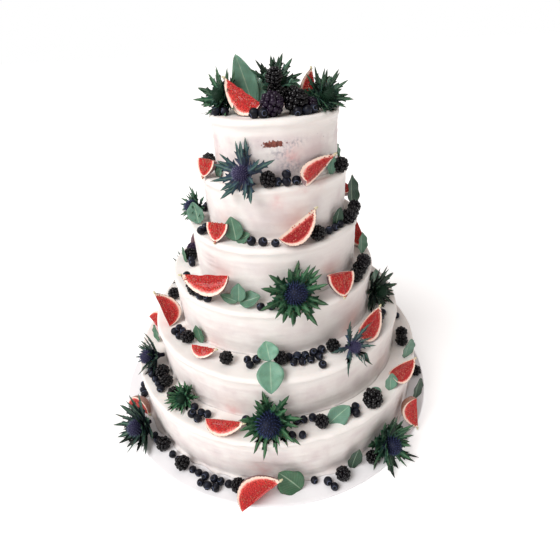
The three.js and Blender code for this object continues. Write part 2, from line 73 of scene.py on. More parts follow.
# Berries: middle radius and how much it varies, distance along a run, and step out to a second row
BERRY_STRAY = 1.2
ANGLE_STRAY = 0.1
BLUEBERRY = {"radius": 5.4, "spread": 0.5, "pitch": 11.2, "step": 9.2}
BRAMBLE = {"radius": 9.2, "spread": 0.7, "pitch": 19, "step": 9}
BIG_BRAMBLE = {"radius": 13, "spread": 0, "pitch": 26, "step": 9}

# Berry runs: ring, first and last angle and out, then rows and the height of a run that lies on others,
# which are one row and no height where a run doesn't give them
RUN_DEFAULTS = (1, 0)
BLUEBERRIES = [
    [0, -68, -60, 64, 2], [0, -16, -4, 68], [0, 24, 44, 70], [0, 126, 136, 64], [0, -150, -140, 64],
    [1, 2, 16, 8], [1, 8.5, 8.5, 9, 1, 8], [1, 118, 130, 7], [1, -168, -160, 7],
    [2, -57, -50, 9, 2], [2, -14, -14, 11], [2, -7, -7, 12], [2, 1.5, 1.5, 13], [2, 34, 52, 9],
    [2, 174, 184, 8], [2, -108, -98, 8],
    [3, -85, -80, 9], [3, -66, -56, 18], [3, -41, -35, 25], [3, -6, -3, 18], [3, 48, 48, 22],
    [3, 116, 124, 12], [3, -146, -138, 10], [3, 180, 188, 12],
    [4, -56, -50, 12, 2], [4, -10.5, -6, 12, 2], [4, 8, 24, 9], [4, 10, 22, 19], [4, 14, 18, 14, 1, 8],
    [4, 20.8, 20.8, 32], [4, 52, 66, 24], [4, 108, 108, 12], [4, -160, -154, 14], [4, -99, -99, 14],
    [5, -62, -49, 25], [5, -32, -25, 14], [5, -31, -27, 24], [5, -10.8, -10.8, 7], [5, 8, 13, 9],
    [5, 6, 10, 29], [5, 28, 31.5, 15, 2], [5, 94, 97, 14], [5, 150, 153, 12], [5, -142, -138, 14],
    [5, 180, 180, 12],
    [6, -76, -70, 10], [6, -49, -44, 13], [6, -37.5, -34, 12], [6, -28, -15, 12], [6, -23, -19, 22],
    [6, 2.5, 5, 9], [6, 13.3, 13.3, 8], [6, 17, 19, 12, 2], [6, 90, 93, 10], [6, 140, 140, 10],
    [6, -84, -84, 10], [6, -150, -147, 10],
]
BRAMBLES = [
    [0, 44, 44, 60], [0, 12, 34, 44, 1, 9], [0, 4, 4, 42, 1, 16], [0, 4, 4, 45, 1, 29], [0, 158, 192, 52],
    [1, -5, -5, 10], [1, 60, 74, 10], [1, -96, -84, 10], [1, 172, 172, 10],
    [2, 28.5, 28.5, 12], [2, 62, 72, 11], [2, 67, 67, 11, 1, 14], [2, 82, 82, 11], [2, 158, 158, 11],
    [3, -97, -91, 13], [3, -51, -51, 20], [3, -46, -46, 23], [3, -30, -30, 25], [3, 55, 74, 14],
    [3, 64, 64, 16, 1, 13], [3, 146, 146, 14], [3, -174, -174, 14],
    [4, -87, -87, 14], [4, -45, -45, 15], [4, -19.5, -19.5, 18], [4, 5, 5, 12], [4, 29, 29, 14],
    [4, 98, 98, 16], [4, -124, -118, 16], [4, 180, 186, 14],
    [5, -57, -52, 12], [5, -43.5, -43.5, 18], [5, 16.5, 16.5, 18], [5, 75, 81, 14], [5, 124, 124, 16],
    [5, -106, -106, 16],
    [6, -43, -43, 12], [6, -32, -32, 13], [6, -11.5, -11.5, 14], [6, 22.5, 22.5, 13], [6, 34, 34, 12],
    [6, 47.5, 47.5, 12], [6, 80, 80, 12], [6, 106, 106, 12], [6, -110, -106, 14], [6, 170, 170, 13],
]
BIG_BRAMBLES = [
    [0, 0, 26, 57],
    [5, 37.5, 37.5, 24],
]

# Fig pieces: ring, angle, out, spin in the cut face, side of the stalk, lean back, turn, length, the
# angle cut out of the fruit and its depth as a part of its length. A fig is round at its blossom end and
# narrows towards its stalk. Pieces wider than a quarter are also cut across.
FIG_BLUNT = 0.5
FIG_TAPER = 0.8
FIG_WIDEST = FIG_BLUNT / (FIG_BLUNT + FIG_TAPER)
FIG_QUARTER = 90
FIG_CUT_ACROSS = 0.3
FIGS = [
    [0, -36, 53, -29, -1, 15, 12, 54, 80, 0.44],
    [0, 80, 50, -85, -1, 10, -60, 42, 80, 0.46],
    [0, 178, 40, -10, 1, 30, 0, 44, 80, 0.46],
    [1, -63, 8, -90, 1, 20, 20, 32, 170, 0.46],
    [1, 33, 14, 217, -1, 70, -12, 66, 75, 0.27],
    [1, 150, 9, 5, 1, 35, 0, 46, 80, 0.46],
    [2, -38, 8, -84, 1, 25, 5, 34, 170, 0.46],
    [2, 14.5, 3, 30, 1, 32, 0, 56, 80, 0.4],
    [2, 118, 9, 20, 1, 30, 0, 46, 80, 0.46],
    [2, -135, 9, -8, -1, 30, 0, 46, 80, 0.46],
    [3, -37, 4, 3, -1, 35, 25, 62, 80, 0.42],
    [3, 39.5, 19, -95, 1, 25, -12, 43, 170, 0.46],
    [3, 102, 12, 60, 1, 20, 0, 44, 80, 0.46],
    [3, -112, 14, 110, 1, 20, 0, 44, 80, 0.46],
    [4, -63.5, 18, 98, 1, 15, 92, 55, 80, 0.46],
    [4, -31, 19, 2, 1, 40, 12, 36, 80, 0.43],
    [4, 49.5, 25, 27, 1, 30, -10, 54, 80, 0.4],
    [4, 121, 14, 10, 1, 35, 0, 48, 80, 0.46],
    [4, -143, 14, -30, -1, 30, 0, 48, 80, 0.46],
    [5, -90, 22, 160, -1, 38, 55, 46, 80, 0.46],
    [5, -16.5, 25, 3, 1, 40, 5, 50, 80, 0.39],
    [5, 55.5, 28, 10, 1, 30, -25, 46, 80, 0.46],
    [5, 112, 14, 215, -1, 30, 0, 48, 80, 0.46],
    [6, -64, 20, 175, -1, 20, 40, 44, 80, 0.46],
    [6, -3, 30, 214, -1, 40, 5, 59, 80, 0.46],
    [6, 56, 14, -88, 1, 18, -46, 49, 80, 0.46],
    [6, 120, 14, 8, 1, 35, 0, 50, 80, 0.46],
    [6, -165, 14, 30, 1, 30, 0, 50, 80, 0.46],
]

# Thistles: ring, angle, out, up, turn, lean back, span of the bracts and head radius
BRACT_FORWARD = 0.08
BRACT_STRAY = 0.1
BRACT_UNEVEN = 0.14
THISTLES = [
    [0, -76, 62, 17, 30, 25, 74, 7],
    [0, 28, 12, 30, 0, 35, 66, 8],
    [0, 66, 66, 14, -25, 30, 68, 8],
    [1, -22, 14, 15, -5, 25, 84, 8],
    [1, -140, 14, 14, 0, 30, 66, 8],
    [2, -80, 16, 18, 35, 20, 52, 8],
    [2, 140, 14, 14, 0, 30, 66, 9],
    [3, 12, 14, 17, 0, 35, 85, 12],
    [3, -160, 14, 16, 0, 30, 74, 11],
    [4, -109, 20, 15, 35, 20, 78, 9],
    [4, 35.5, 31, 11, 0, 30, 72, 7],
    [4, 76, 12, 22, -30, 12, 78, 9],
    [5, -66, 20, 17, 10, 20, 72, 10],
    [5, -38, 15, 10, 20, 35, 52, 6],
    [5, -1.5, 18, 16, 0, 35, 78, 13],
    [5, 136, 16, 16, 0, 30, 78, 12],
    [6, -54, 27, 15, 15, 22, 98, 10],
    [6, 40.5, 18, 18, -5, 28, 84, 10],
    [6, 155, 16, 17, 0, 30, 78, 12],
]

# Leaves: ring, angle, out, up, turn, lean back, spin, length and width
LEAF_CUP = 0.12
LEAF_BEND = 0.16
LEAF_LOW = 0.85
LEAF_FULL = 0.8
LEAVES = [
    [0, 60, 34, -1, -30, 15, 10, 34, 24],
    [0, 84, 56, -1, -50, 10, -25, 36, 22],
    [0, -140, 46, -1, 0, 10, 15, 40, 26],
    [1, 52, 4, -1, -20, 15, -15, 22, 13],
    [1, 96, 5, -1, -20, 20, 20, 26, 20],
    [1, -62, 4, -1, 20, 12, -38, 22, 13],
    [2, 50, 4, -1, -25, 8, -12, 28, 15],
    [2, 90, 12, -1, -35, 22, -14, 46, 30],
    [2, -168, 5, -1, 0, 20, 20, 28, 22],
    [3, -86, 20, -1, 40, 10, 5, 26, 10],
    [3, 90, 12, -1, -40, 20, -15, 32, 24],
    [4, -39, 5, -1, 10, 15, 15, 28, 18],
    [4, 88, 10, -1, -40, 20, -15, 36, 26],
    [4, -172, 8, -1, 0, 20, 25, 32, 24],
    [5, -81, 14, -1, 35, 15, 10, 32, 20],
    [5, 19, 20, -1, -10, 36, -55, 36, 26],
    [5, 43.5, 20, -1, -25, 25, 55, 24, 17],
    [5, 47.5, 25, -1, -25, 25, -10, 26, 20],
    [5, 67, 22, -1, -35, 5, -5, 38, 24],
    [5, -122, 10, -1, 0, 20, -20, 34, 24],
    [5, 164, 10, -1, 0, 20, 10, 34, 24],
    [6, 26.5, 7, -1, -15, 12, -14, 38, 19],
    [6, 67, 14, -1, -35, 10, -5, 44, 20],
    [6, -95, 10, -1, 0, 20, 20, 36, 26],
]
# The largest leaves, each sprig a piece of its own
SPRIGS = {
    "leaf_top": [[0, -62, 26, 1, 50, 8, 16, 60, 30], [0, -48, 22, 1, 40, 12, -22, 46, 24]],
    "leaf_tier_3_left": [[2, -69, 14, 1, 50, 15, 10, 30, 26]],
    "leaf_tier_3_front": [[2, -26, 9, 1, 15, 20, 10, 30, 25], [2, -26, 9, 1, 10, 45, -60, 20, 16]],
    "sprig_tier_4": [
        [3, -19, 15, 5, 5, 25, 0, 24, 20],
        [3, -18.5, 15, 5, 5, 55, -70, 28, 22],
        [3, -19.5, 15, 5, 5, 40, 75, 24, 12],
    ],
    "leaf_tier_5": [[4, 0, 20, 11, 0, 50, 12, 25, 27], [4, 0, 20, 12, 0, 62, 183, 42, 33]],
    "leaf_board": [[6, 8.5, 14, 1, 0, 25, 40, 42, 36]],
}

# Surface steps, in millimetres: round a tier, up its wall and in along its ledge
ICING_STEP = 2.2
WALL_STEP = 2.0
LEDGE_STEP = 2.6
# The soft lip of icing at a tier's rim: its radius, where it starts in degrees below level, how low its
# crease lies and how deep it cuts in, and how far the ledge dips
LIP_RADIUS = 5
LIP_START = 40
CREASE_DROP = 12.5
CREASE_DEPTH = 0.3
LEDGE_DROP = 0.3
# How far the icing spreads at each tier's foot, top down, and how high that reaches
FOOT_SPREAD = [1.2, 1.2, 1.2, 1.5, 1.5, 4.5]
FOOT_HEIGHT = 3
# Waves and strokes in the icing: depth, size round and along the wall, and seed
ICING_WAVES = [(0.6, 48, 48, 0), (0.34, 42, 3.4, 9), (0.16, 17, 1.7, 19)]
PIT_DEPTH = 0.7
PIT_SIZE = (7, 7, 4)
LIP_UNEVEN = 0.8
SKIRT_UNEVEN = 0.8
# How strongly each tier's wall is filmed grey, top down: cake showing through the icing, and on the two
# lowest tiers a stronger film that makes them darker towards the bottom
WALL_FILM = [1.0, 0.7, 0.6, 0.55, 0.75, 0.79]

# Juice stains on the walls: tier, angle, height above its foot, half width, half height and strength
STAINS = [
    (0, 16, 29, 9, 11, 0.8),
    (1, 4, 47, 7, 8, 0.8),
    (1, 22, 58, 10, 4, 0.4),
    (3, 45, 6, 12, 12, 0.6),
    (3, -31, 5, 16, 7, 0.5),
    (4, -17, 8, 10, 10, 0.7),
    (5, -4, 24, 16, 14, 0.55),
    (5, -58, 8, 14, 8, 0.35),
]
# Where the top tier's icing is scraped off, and where it is smeared grey, placed in the same way
BARE = (0, 1.5, 43, 16, 4.6)
SMEARS = [(0, 18, 43, 12, 4.5), (0, 6, 33, 12, 6), (0, 14, 16, 16, 8), (0, -24, 42, 9, 3)]
# The stain under each fig: how far it reaches, how strong it is and how far below the fig's middle
FIG_STAIN = 13
FIG_STAIN_STRENGTH = 0.3
FIG_STAIN_DROP = 14

# The facts of a fig piece that its shapes need
Fig = namedtuple("Fig", "number stalk length wedge deep")
# Figs: rows along, columns across a cut face and round the skin, how far one sinks into the icing, seeds
# on a cut face and their size, and the stalk's length as a part of the fruit's
FIG_ROWS = 30
CUT_COLUMNS = 14
SKIN_COLUMNS = 18
FIG_SINK = 0.6
FIG_SEEDS = 45
SEED_SIZE = 0.85
FIG_STALK = 0.05
# The flesh: its depth as a part of the fruit's length, the size of its grain and how rough it is
FLESH_DEPTH = 0.27
FLESH_GRAIN = 3.2
FLESH_RELIEF = 0.8
# How deep the ribs of the skin are, as a part of its radius
RIB_DEPTH = 0.018
# Slices with rind along both edges of the cut face
RIMMED = (8,)
# How dark a crimson the flesh is, where it differs from the usual coral
DARK_CRIMSON = {5: 0.75, 8: 1.0, 12: 0.3, 17: 0.5, 22: 0.6, 2: 0.5}
# How tan the skin is, from dusky at 0 to tan at 1
FIG_TONES = {8: 0.3, 25: 0.35, 11: 0.6, 21: 0.8}

# Layers of bracts: how many, where the first lies, reach and rise as parts of the span, and width
BRACT_LAYERS = [
    (10, 0.5, 1, 0, 0.13),
    (11, 0, 0.84, 0.05, 0.115),
    (11, 0.3, 0.64, 0.13, 0.1),
]
BRACT_THICKNESS = 0.8
# A bract from its root to its tip: share of its length, and the teeth at its left and right edge
BRACT_SHAPE = np.array([
    (0.06, 0, 0),
    (0.16, 0, 0),
    (0.26, 0.2, 0.1),
    (0.34, 1, 0.2),
    (0.37, 0, 0.3),
    (0.42, 0, 1),
    (0.45, 0, 0),
    (0.53, 0.2, 0),
    (0.59, 0.8, 0),
    (0.62, 0, 0.2),
    (0.67, 0, 0.7),
    (0.71, 0, 0),
    (0.86, 0, 0),
])
BRACT_ASTRAY = 0.35
TOOTH_OUT = 1.25
TOOTH_FORWARD = 0.09
HEAD_SPIKES = 110
# The gap kept between a bract and the cake
CLEAR = 0.6
# How violet each thistle is, from green and navy at 0 to violet at 1, and how dark its bracts are
THISTLE_TONES = {
    1: 0.1, 2: 0.3, 3: 0.2, 4: 0.95, 8: 0.05, 10: 0.45, 11: 0.75,
    12: 0.2, 13: 0.5, 14: 0.0, 15: 0.0, 17: 0.5, 18: 0.1,
}
THISTLE_SHADES = {1: 0.35, 2: 0.5, 3: 0.45, 10: 0.5, 12: 0.85, 13: 0.5, 17: 0.45, 18: 0.3}
# Thistles that show a tuft of green and hardly a head
TUFTS = (1, 2, 3, 12, 14)
# Thistles with fewer bracts, and how wide those are
SPARSE = {4: 0.95, 11: 0.6}

LEAF_THICKNESS = 0.8
LEAF_COLUMNS = 9
LEAF_ROWS = 18
# How dark the leaves are, from pale at 0 to dark at 1
SPRIG_TONES = {
    "leaf_top": 0.22,
    "leaf_tier_3_left": 0.3,
    "leaf_tier_3_front": 0.5,
    "sprig_tier_4": 0.4,
    "leaf_tier_5": 0.05,
    "leaf_board": 0.7,
}
LEAF_TONE = 0.4
DARK_LEAF_TONE = 0.95
# The ring and angle of each dark leaf
DARK_LEAVES = ((2, 50), (2, 90), (6, 26.5), (6, 67))

# The camera: place in metres, turn, tilt down and roll in degrees, and lens on a 36 mm wide sensor
CAMERA_PLACE = (0.04326, -0.50249, 0.49343)
CAMERA_TURN = -2.93
CAMERA_DOWN = 32.21
CAMERA_ROLL = -3.37
CAMERA_LENS = 24.38
SENSOR = 36
# The light: strength of the surround, of the key light and of the bright floor, and where the key light
# comes from and how soft it is
SKY = 0.42
KEY = 2.6
FLOOR_GLOW = 0.3
KEY_FROM = (-0.75, -0.55, 1.0)
KEY_SOFTNESS = 40


def draw(a, b):
    """The same draw between -1 and 1 for the same two numbers."""
    s = math.sin(a * 12.9898 + b * 78.233) * 43758.5453
    return 2 * (s - math.floor(s)) - 1


def hashed(cells, seed):
    """A value between 0 and 1 for each row of three whole numbers."""
    s = np.sin(cells @ np.array([12.9898, 78.233, 37.719]) + seed * 4.137) * 43758.5453
    return s - np.floor(s)


def noise(points, seed=0):
    """Smooth noise between -1 and 1 at each row of points."""
    base = np.floor(points)
    part = points - base
    part = part * part * (3 - 2 * part)
    total = np.zeros(len(points))
    for corner in itertools.product((0, 1), repeat=3):
        weight = np.prod(np.where(corner, part, 1 - part), axis=1)
        total += weight * hashed(base + corner, seed)
    return 2 * total - 1


def colour(code):
    """A Blender colour from six hexadecimal digits."""
    shares = [int(code[i:i + 2], 16) / 255 for i in (0, 2, 4)]
    linear = [c / 12.92 if c <= 0.04045 else ((c + 0.055) / 1.055) ** 2.4 for c in shares]
    return (*linear, 1)


def ring_of(k):
    """The height of ring k's ledge, and the radius and middle of the wall behind it."""
    height = BOARD_THICKNESS + sum(tier[1] for tier in TIERS[k:])
    wall = TIERS[max(k - 1, 0)]
    return height, wall[0] if k else 0, wall[2], wall[3]


def seat(k, angle, out, up, turn=0, lean=0, spin=0):
    """The matrix that puts a shape made with X right, Y up and Z outward in its place on a ring."""
    height, radius, x, y = ring_of(k)
    a = math.radians(angle)
    outward = Vector((math.sin(a), -math.cos(a), 0))
    right = Vector((math.cos(a), math.sin(a), 0))
    place = Vector((x, y, height + up)) + outward * (radius + out)
    basis = Matrix((right, Vector((0, 0, 1)), outward)).transposed().to_4x4()
    turned = Matrix.Rotation(math.radians(turn), 4, "Y")
    leaned = Matrix.Rotation(-math.radians(lean), 4, "X")
    spun = Matrix.Rotation(math.radians(spin), 4, "Z")
    return Matrix.Translation(place) @ basis @ turned @ leaned @ spun


def moved(points, matrix):
    """Points, one in each row, moved by a 4 x 4 matrix."""
    m = np.array(matrix)
    return points @ m[:3, :3].T + m[:3, 3]


def towards(direction):
    """The rotation that turns +Z to a direction."""
    return np.array(Vector((0, 0, 1)).rotation_difference(Vector(direction)).to_matrix())


class Heap:
    """Points in millimetres, faces and values at the points, gathered until they become one piece."""

    def __init__(self):
        self.points = []
        self.faces = []
        self.slots = []
        self.values = {}
        self.count = 0

    def add(self, points, faces, slot=0, flip=False, **values):
        """Adds points, arrays of faces and values at the points, such as a number for each."""
        for name, value in values.items():
            flat = np.ndim(value) < 2
            whole = np.broadcast_to(value, (len(points),)) if flat else value
            self.values.setdefault(name, []).append(whole)
        for part in faces:
            self.faces.append((part[:, ::-1] if flip else part) + self.count)
            self.slots.append(np.full(len(part), slot))
        self.points.append(points)
        self.count += len(points)

    def piece(self, name, materials, *replaced):
        """Makes the piece, which rides on the cake and stands for the nodes that it replaces."""
        mesh = bpy.data.meshes.new(name)
        mesh.vertices.add(self.count)
        mesh.vertices.foreach_set("co", (np.concatenate(self.points) * MM).astype(np.float32).ravel())
        corners = np.concatenate([part.ravel() for part in self.faces]).astype(np.int32)
        sizes = np.concatenate([np.full(len(part), part.shape[1]) for part in self.faces])
        mesh.loops.add(len(corners))
        mesh.loops.foreach_set("vertex_index", corners)
        mesh.polygons.add(len(sizes))
        mesh.polygons.foreach_set("loop_start", (np.cumsum(sizes) - sizes).astype(np.int32))
        mesh.polygons.foreach_set("material_index", np.concatenate(self.slots).astype(np.int32))
        mesh.update(calc_edges=True)
        mesh.validate()
        mesh.shade_smooth()
        for key, parts in self.values.items():
            whole = np.concatenate(parts).astype(np.float32)
            kind, field = ("FLOAT", "value") if whole.ndim == 1 else ("FLOAT_VECTOR", "vector")
            mesh.attributes.new(key, kind, "POINT").data.foreach_set(field, whole.ravel())
        for material in materials:
            mesh.materials.append(material)
        piece = bpy.data.objects.new(name, mesh)
        bpy.context.scene.collection.objects.link(piece)
        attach(piece, "root")
        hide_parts(*replaced)
        return piece


def capped_grid(grid, first, last, wrap):
    """A grid of points that closes to one point before its first row, where that is given, and at its end."""
    rows, columns = grid.shape[:2]
    opened = first is None
    points = np.concatenate([np.empty((0, 3)) if opened else [first], grid.reshape(-1, 3), [last]])
    base = 0 if opened else 1
    here = np.arange(columns if wrap else columns - 1)
    right = (here + 1) % columns
    row = np.arange(rows - 1)[:, None] * columns + base
    quads = np.stack([row + here, row + right, row + columns + right, row + columns + here], -1)
    final = base + (rows - 1) * columns
    fans = [np.stack([np.full_like(here, len(points) - 1), final + here, final + right], -1)]
    if not opened:
        fans.append(np.stack([np.zeros_like(here), right + 1, here + 1], -1))
    return points, [quads.reshape(-1, 4), np.concatenate(fans)]


def circle(count):
    """Outward directions round the Z axis."""
    turn = np.linspace(0, 2 * math.pi, count, endpoint=False)
    return np.stack([np.cos(turn), np.sin(turn), np.zeros(count)], -1)


def lathe(rows, out):
    """A grid of rows of radius and height, turned round the Z axis."""
    return rows[:, 0, None, None] * out + rows[:, 1, None, None] * [0, 0, 1]


def small_ball(finer):
    """A ball of triangles with a radius of 1."""
    made = bmesh.new()
    bmesh.ops.create_icosphere(made, subdivisions=finer, radius=1)
    points = np.array([v.co for v in made.verts])
    faces = np.array([[v.index for v in f.verts] for f in made.faces])
    made.free()
    return points, faces


class Look:
    """A material, with short ways to add its nodes. Positions are in metres in the cake's own frame."""

    def __init__(self, name, **sockets):
        self.material = bpy.data.materials.new(name)
        self.material.use_nodes = True
        self.tree = self.material.node_tree
        self.shader = self.tree.nodes["Principled BSDF"]
        for socket, value in sockets.items():
            self.set(self.shader, socket.replace("_", " "), value)

    def set(self, node, socket, value):
        entry = node.inputs[socket]
        if isinstance(value, bpy.types.NodeSocket):
            self.tree.links.new(value, entry)
        else:
            entry.default_value = value

    def node(self, kind, inputs=(), **settings):
        made = self.tree.nodes.new("ShaderNode" + kind)
        for key, value in settings.items():
            setattr(made, key, value)
        for socket, value in dict(inputs).items():
            self.set(made, socket, value)
        return made

    def value(self, name):
        return self.node("Attribute", attribute_name=name).outputs["Fac"]

    def place(self, scale=(1, 1, 1), name=None):
        """A position times a scale: the object's own, or the one kept in a named value."""
        if name:
            start = self.node("Attribute", attribute_name=name).outputs["Vector"]
        else:
            start = self.node("TexCoord").outputs["Object"]
        return self.node("VectorMath", {0: start, 1: scale}, operation="MULTIPLY").outputs[0]

    def noise(self, place, scale, detail=3):
        made = self.node("TexNoise", {"Vector": place, "Scale": scale, "Detail": detail})
        return made.outputs["Fac"]

    def cells(self, place, scale):
        return self.node("TexVoronoi", {"Vector": place, "Scale": scale}).outputs["Distance"]

    def calc(self, operation, a, b, clamp=False):
        return self.node("Math", {0: a, 1: b}, operation=operation, use_clamp=clamp).outputs[0]

    def times(self, a, b, clamp=False):
        return self.calc("MULTIPLY", a, b, clamp)

    def plus(self, a, b):
        return self.calc("ADD", a, b)

    def minus(self, a, b):
        return self.calc("SUBTRACT", a, b)

    def ramp(self, factor, *stops):
        """Colours or numbers along a factor, each stop a position and its colour or number."""
        made = self.node("ValToRGB", {"Fac": factor})
        line = made.color_ramp
        for i, (position, shown) in enumerate(stops):
            stop = line.elements[i] if i < 2 else line.elements.new(position)
            stop.position = position
            stop.color = colour(shown) if isinstance(shown, str) else (shown, shown, shown, 1)
        return made.outputs["Color"]

    def mix(self, factor, a, b, blend="MIX"):
        made = self.node("Mix", {0: factor, 6: a, 7: b}, data_type="RGBA", blend_type=blend)
        return made.outputs[2]

    def finish(self, base, roughness=None, height=None, distance=0.0005, strength=1):
        """Links the colour, the roughness and a height in parts of a distance in metres."""
        self.set(self.shader, "Base Color", base)
        if roughness is not None:
            self.set(self.shader, "Roughness", roughness)
        if height is not None:
            facts = {"Height": height, "Distance": distance, "Strength": strength}
            self.set(self.shader, "Normal", self.node("Bump", facts).outputs["Normal"])
        return self.material


# Looks

def icing_look():
    look = Look("icing", Subsurface_Weight=0.2, Subsurface_Scale=0.002, Specular_IOR_Level=0.3)
    look.set(look.shader, "Subsurface Radius", (1, 0.8, 0.7))
    place = look.place()
    cloudy = look.noise(place, 42, 5)
    fine = look.noise(place, 330, 4)
    streaks = look.noise(look.place((1, 1, 8)), 30, 5)
    # A grey film on the walls: cake showing through the icing, and on the two lowest tiers a stronger film
    # that darkens them
    film = look.ramp(cloudy, (0.38, 0.15), (0.66, 1.0))
    thin = look.times(look.value("thin"), film)
    base = look.mix(thin, colour("f3eeea"), colour("dccfcf"))
    base = look.mix(look.ramp(streaks, (0.42, 0.0), (0.78, 0.35)), base, colour("e6dcd8"))
    patchy = look.ramp(look.noise(place, 95, 5), (0.34, 0.15), (0.66, 1.0))
    juice = look.times(look.value("juice"), patchy, clamp=True)
    base = look.mix(juice, base, colour("e0a6a4"))
    smear = look.times(look.value("smear"), look.ramp(fine, (0.4, 0.0), (0.68, 0.8)))
    base = look.mix(smear, base, colour("8f8c9c"))
    specks = look.ramp(look.cells(place, 150), (0.0, 1.0), (0.14, 0.0))
    rare = look.ramp(look.noise(place, 30, 2), (0.48, 0.0), (0.6, 1.0))
    dotted = look.ramp(look.value("thin"), (0.8, 0.0), (0.95, 1.0))
    dots = look.times(look.times(specks, rare), dotted)
    base = look.mix(look.times(dots, 0.7), base, colour("6f5a60"))
    uneven = look.times(look.minus(fine, 0.5), 1.3)
    ragged = look.plus(look.value("bare"), uneven)
    scraped = look.ramp(ragged, (0.5, 0.0), (0.62, 1.0))
    crumb = look.ramp(look.noise(place, 420, 5), (0.3, "54231d"), (0.7, "9c5a4c"))
    base = look.mix(scraped, base, crumb)
    height = look.plus(streaks, look.times(fine, 0.2))
    height = look.minus(height, look.times(scraped, 0.8))
    return look.finish(base, 0.58, height, 0.0009, 0.5)


def board_look():
    look = Look("board", Specular_IOR_Level=0.4)
    base = look.mix(look.noise(look.place(), 25, 4), colour("f2f1f3"), colour("e9e7ea"))
    return look.finish(base, 0.42)


def flesh_look():
    soft = dict(Subsurface_Weight=0.1, Subsurface_Scale=0.003)
    look = Look("fig_flesh", Specular_IOR_Level=0.25, Coat_Weight=0.3, **soft)
    look.set(look.shader, "Subsurface Radius", (1, 0.35, 0.25))
    cut = look.place(name="cut")
    ragged = look.times(look.minus(look.noise(cut, 0.5, 4), 0.5), 0.22)
    depth = look.plus(look.value("depth"), ragged)
    stops = [
        (0.01, "5d3040"),
        (0.03, "efd6c2"),
        (0.19, "f8dfd0"),
        (0.29, "f28b7e"),
        (0.40, "ea443b"),
        (0.62, "de2c27"),
        (1.00, "c42020"),
    ]
    base = look.ramp(depth, *stops)
    inside = look.ramp(depth, (0.25, 0.0), (0.42, 1.0))
    grains = look.cells(cut, 0.62)
    # Darker crimson flesh on the figs that are given a value for it
    base = look.mix(look.times(look.value("dark_crimson"), inside), base, colour("a5141c"))
    gaps = look.times(look.ramp(grains, (0.42, 0.0), (0.75, 0.85)), inside)
    base = look.mix(gaps, base, colour("981318"))
    fibres = look.noise(look.place((1.6, 0.6, 1), "cut"), 0.45, 4)
    dark = look.times(look.ramp(fibres, (0.5, 0.0), (0.68, 0.75)), inside)
    base = look.mix(dark, base, colour("a3161a"))
    light = look.ramp(look.noise(cut, 0.8, 3), (0.55, 0.0), (0.75, 0.5))
    base = look.mix(look.times(light, inside), base, colour("f67c6a"))
    height = look.times(look.minus(1.0, grains), inside)
    return look.finish(base, 0.42, height, 0.0012)


def seed_look():
    look = Look("fig_seed", Coat_Weight=0.3)
    base = look.mix(look.noise(look.place(), 800, 1), colour("8a1a18"), colour("dd6f54"))
    return look.finish(base, 0.35)


def skin_look():
    look = Look("fig_skin", Coat_Weight=0.08)
    lines = look.noise(look.place((0.25, 1.4, 1), "cut"), 0.8, 4)
    dusky = look.ramp(lines, (0.3, "3d2334"), (0.55, "5f3a48"), (0.8, "8b6470"))
    tan = look.ramp(lines, (0.3, "86523f"), (0.55, "b17e63"), (0.8, "cfa888"))
    base = look.mix(look.value("tone"), dusky, tan)
    bloom = look.ramp(look.noise(look.place(), 90, 3), (0.45, 0.0), (0.75, 0.35))
    base = look.mix(bloom, base, colour("b7a6b4"))
    return look.finish(base, 0.5, lines, 0.0006)


def stalk_look():
    look = Look("fig_stalk")
    base = look.mix(look.noise(look.place(), 200, 2), colour("e9dcc0"), colour("b9b98a"))
    return look.finish(base, 0.6)


def bract_look():
    look = Look("thistle_bract", Specular_IOR_Level=0.3, Subsurface_Weight=0.06, Subsurface_Scale=0.001)
    along = look.value("along")
    greens = [(0.0, "2a3f66"), (0.2, "2c5448"), (0.5, "2f6442"), (0.85, "44714b"), (1.0, "2c4234")]
    green = look.ramp(along, *greens)
    violet = look.ramp(along, (0.0, "5a5090"), (0.3, "46546e"), (0.7, "37565c"), (1.0, "46605e"))
    base = look.mix(look.value("tone"), green, violet)
    base = look.mix(look.value("shade"), base, colour("0a1a12"))
    shade = look.ramp(look.noise(look.place(), 160, 4), (0.3, 0.72), (0.7, 1.2))
    base = look.mix(1.0, base, shade, "MULTIPLY")
    rib = look.ramp(look.value("across"), (0.0, 0.35), (0.3, 0.0))
    base = look.mix(rib, base, colour("8fb08e"))
    return look.finish(base, 0.5, look.noise(look.place(), 420, 3), 0.0004)


def floret_look():
    look = Look("thistle_floret", Specular_IOR_Level=0.25)
    along = look.value("along")
    navy = look.ramp(along, (0.0, "070c1a"), (0.6, "131d3c"), (1.0, "4a5a94"))
    violet = look.ramp(along, (0.0, "1c1830"), (0.6, "403a60"), (1.0, "a39cba"))
    base = look.mix(look.value("tone"), navy, violet)
    return look.finish(look.mix(look.value("shade"), base, colour("12301f")), 0.6)


def leaf_look():
    look = Look("leaf", Subsurface_Weight=0.12, Subsurface_Scale=0.002)
    tone = look.value("tone")
    stops = [(0.0, "78a88f"), (0.33, "5f8672"), (0.66, "3f6a4a"), (1.0, "1a3828")]
    base = look.ramp(tone, *stops)
    across = look.value("across")
    slanted = look.plus(look.value("along"), look.times(across, -0.35))
    wave = look.calc("SINE", look.times(slanted, 62), 0)
    lines = look.ramp(wave, (0.95, 0.0), (1.0, 0.22))
    veins = look.times(lines, look.ramp(across, (0.8, 1.0), (1, 0)))
    base = look.mix(veins, base, colour("9dbca0"))
    middle = look.ramp(across, (0.0, 0.7), (0.07, 0.0))
    base = look.mix(middle, base, colour("b4cbae"))
    mottled = look.ramp(look.noise(look.place(), 120, 4), (0.3, 0.84), (0.7, 1.12))
    base = look.mix(1.0, base, mottled, "MULTIPLY")
    height = look.minus(look.noise(look.place(), 300, 3), look.times(veins, 1.5))
    return look.finish(base, 0.48, height, 0.0003)


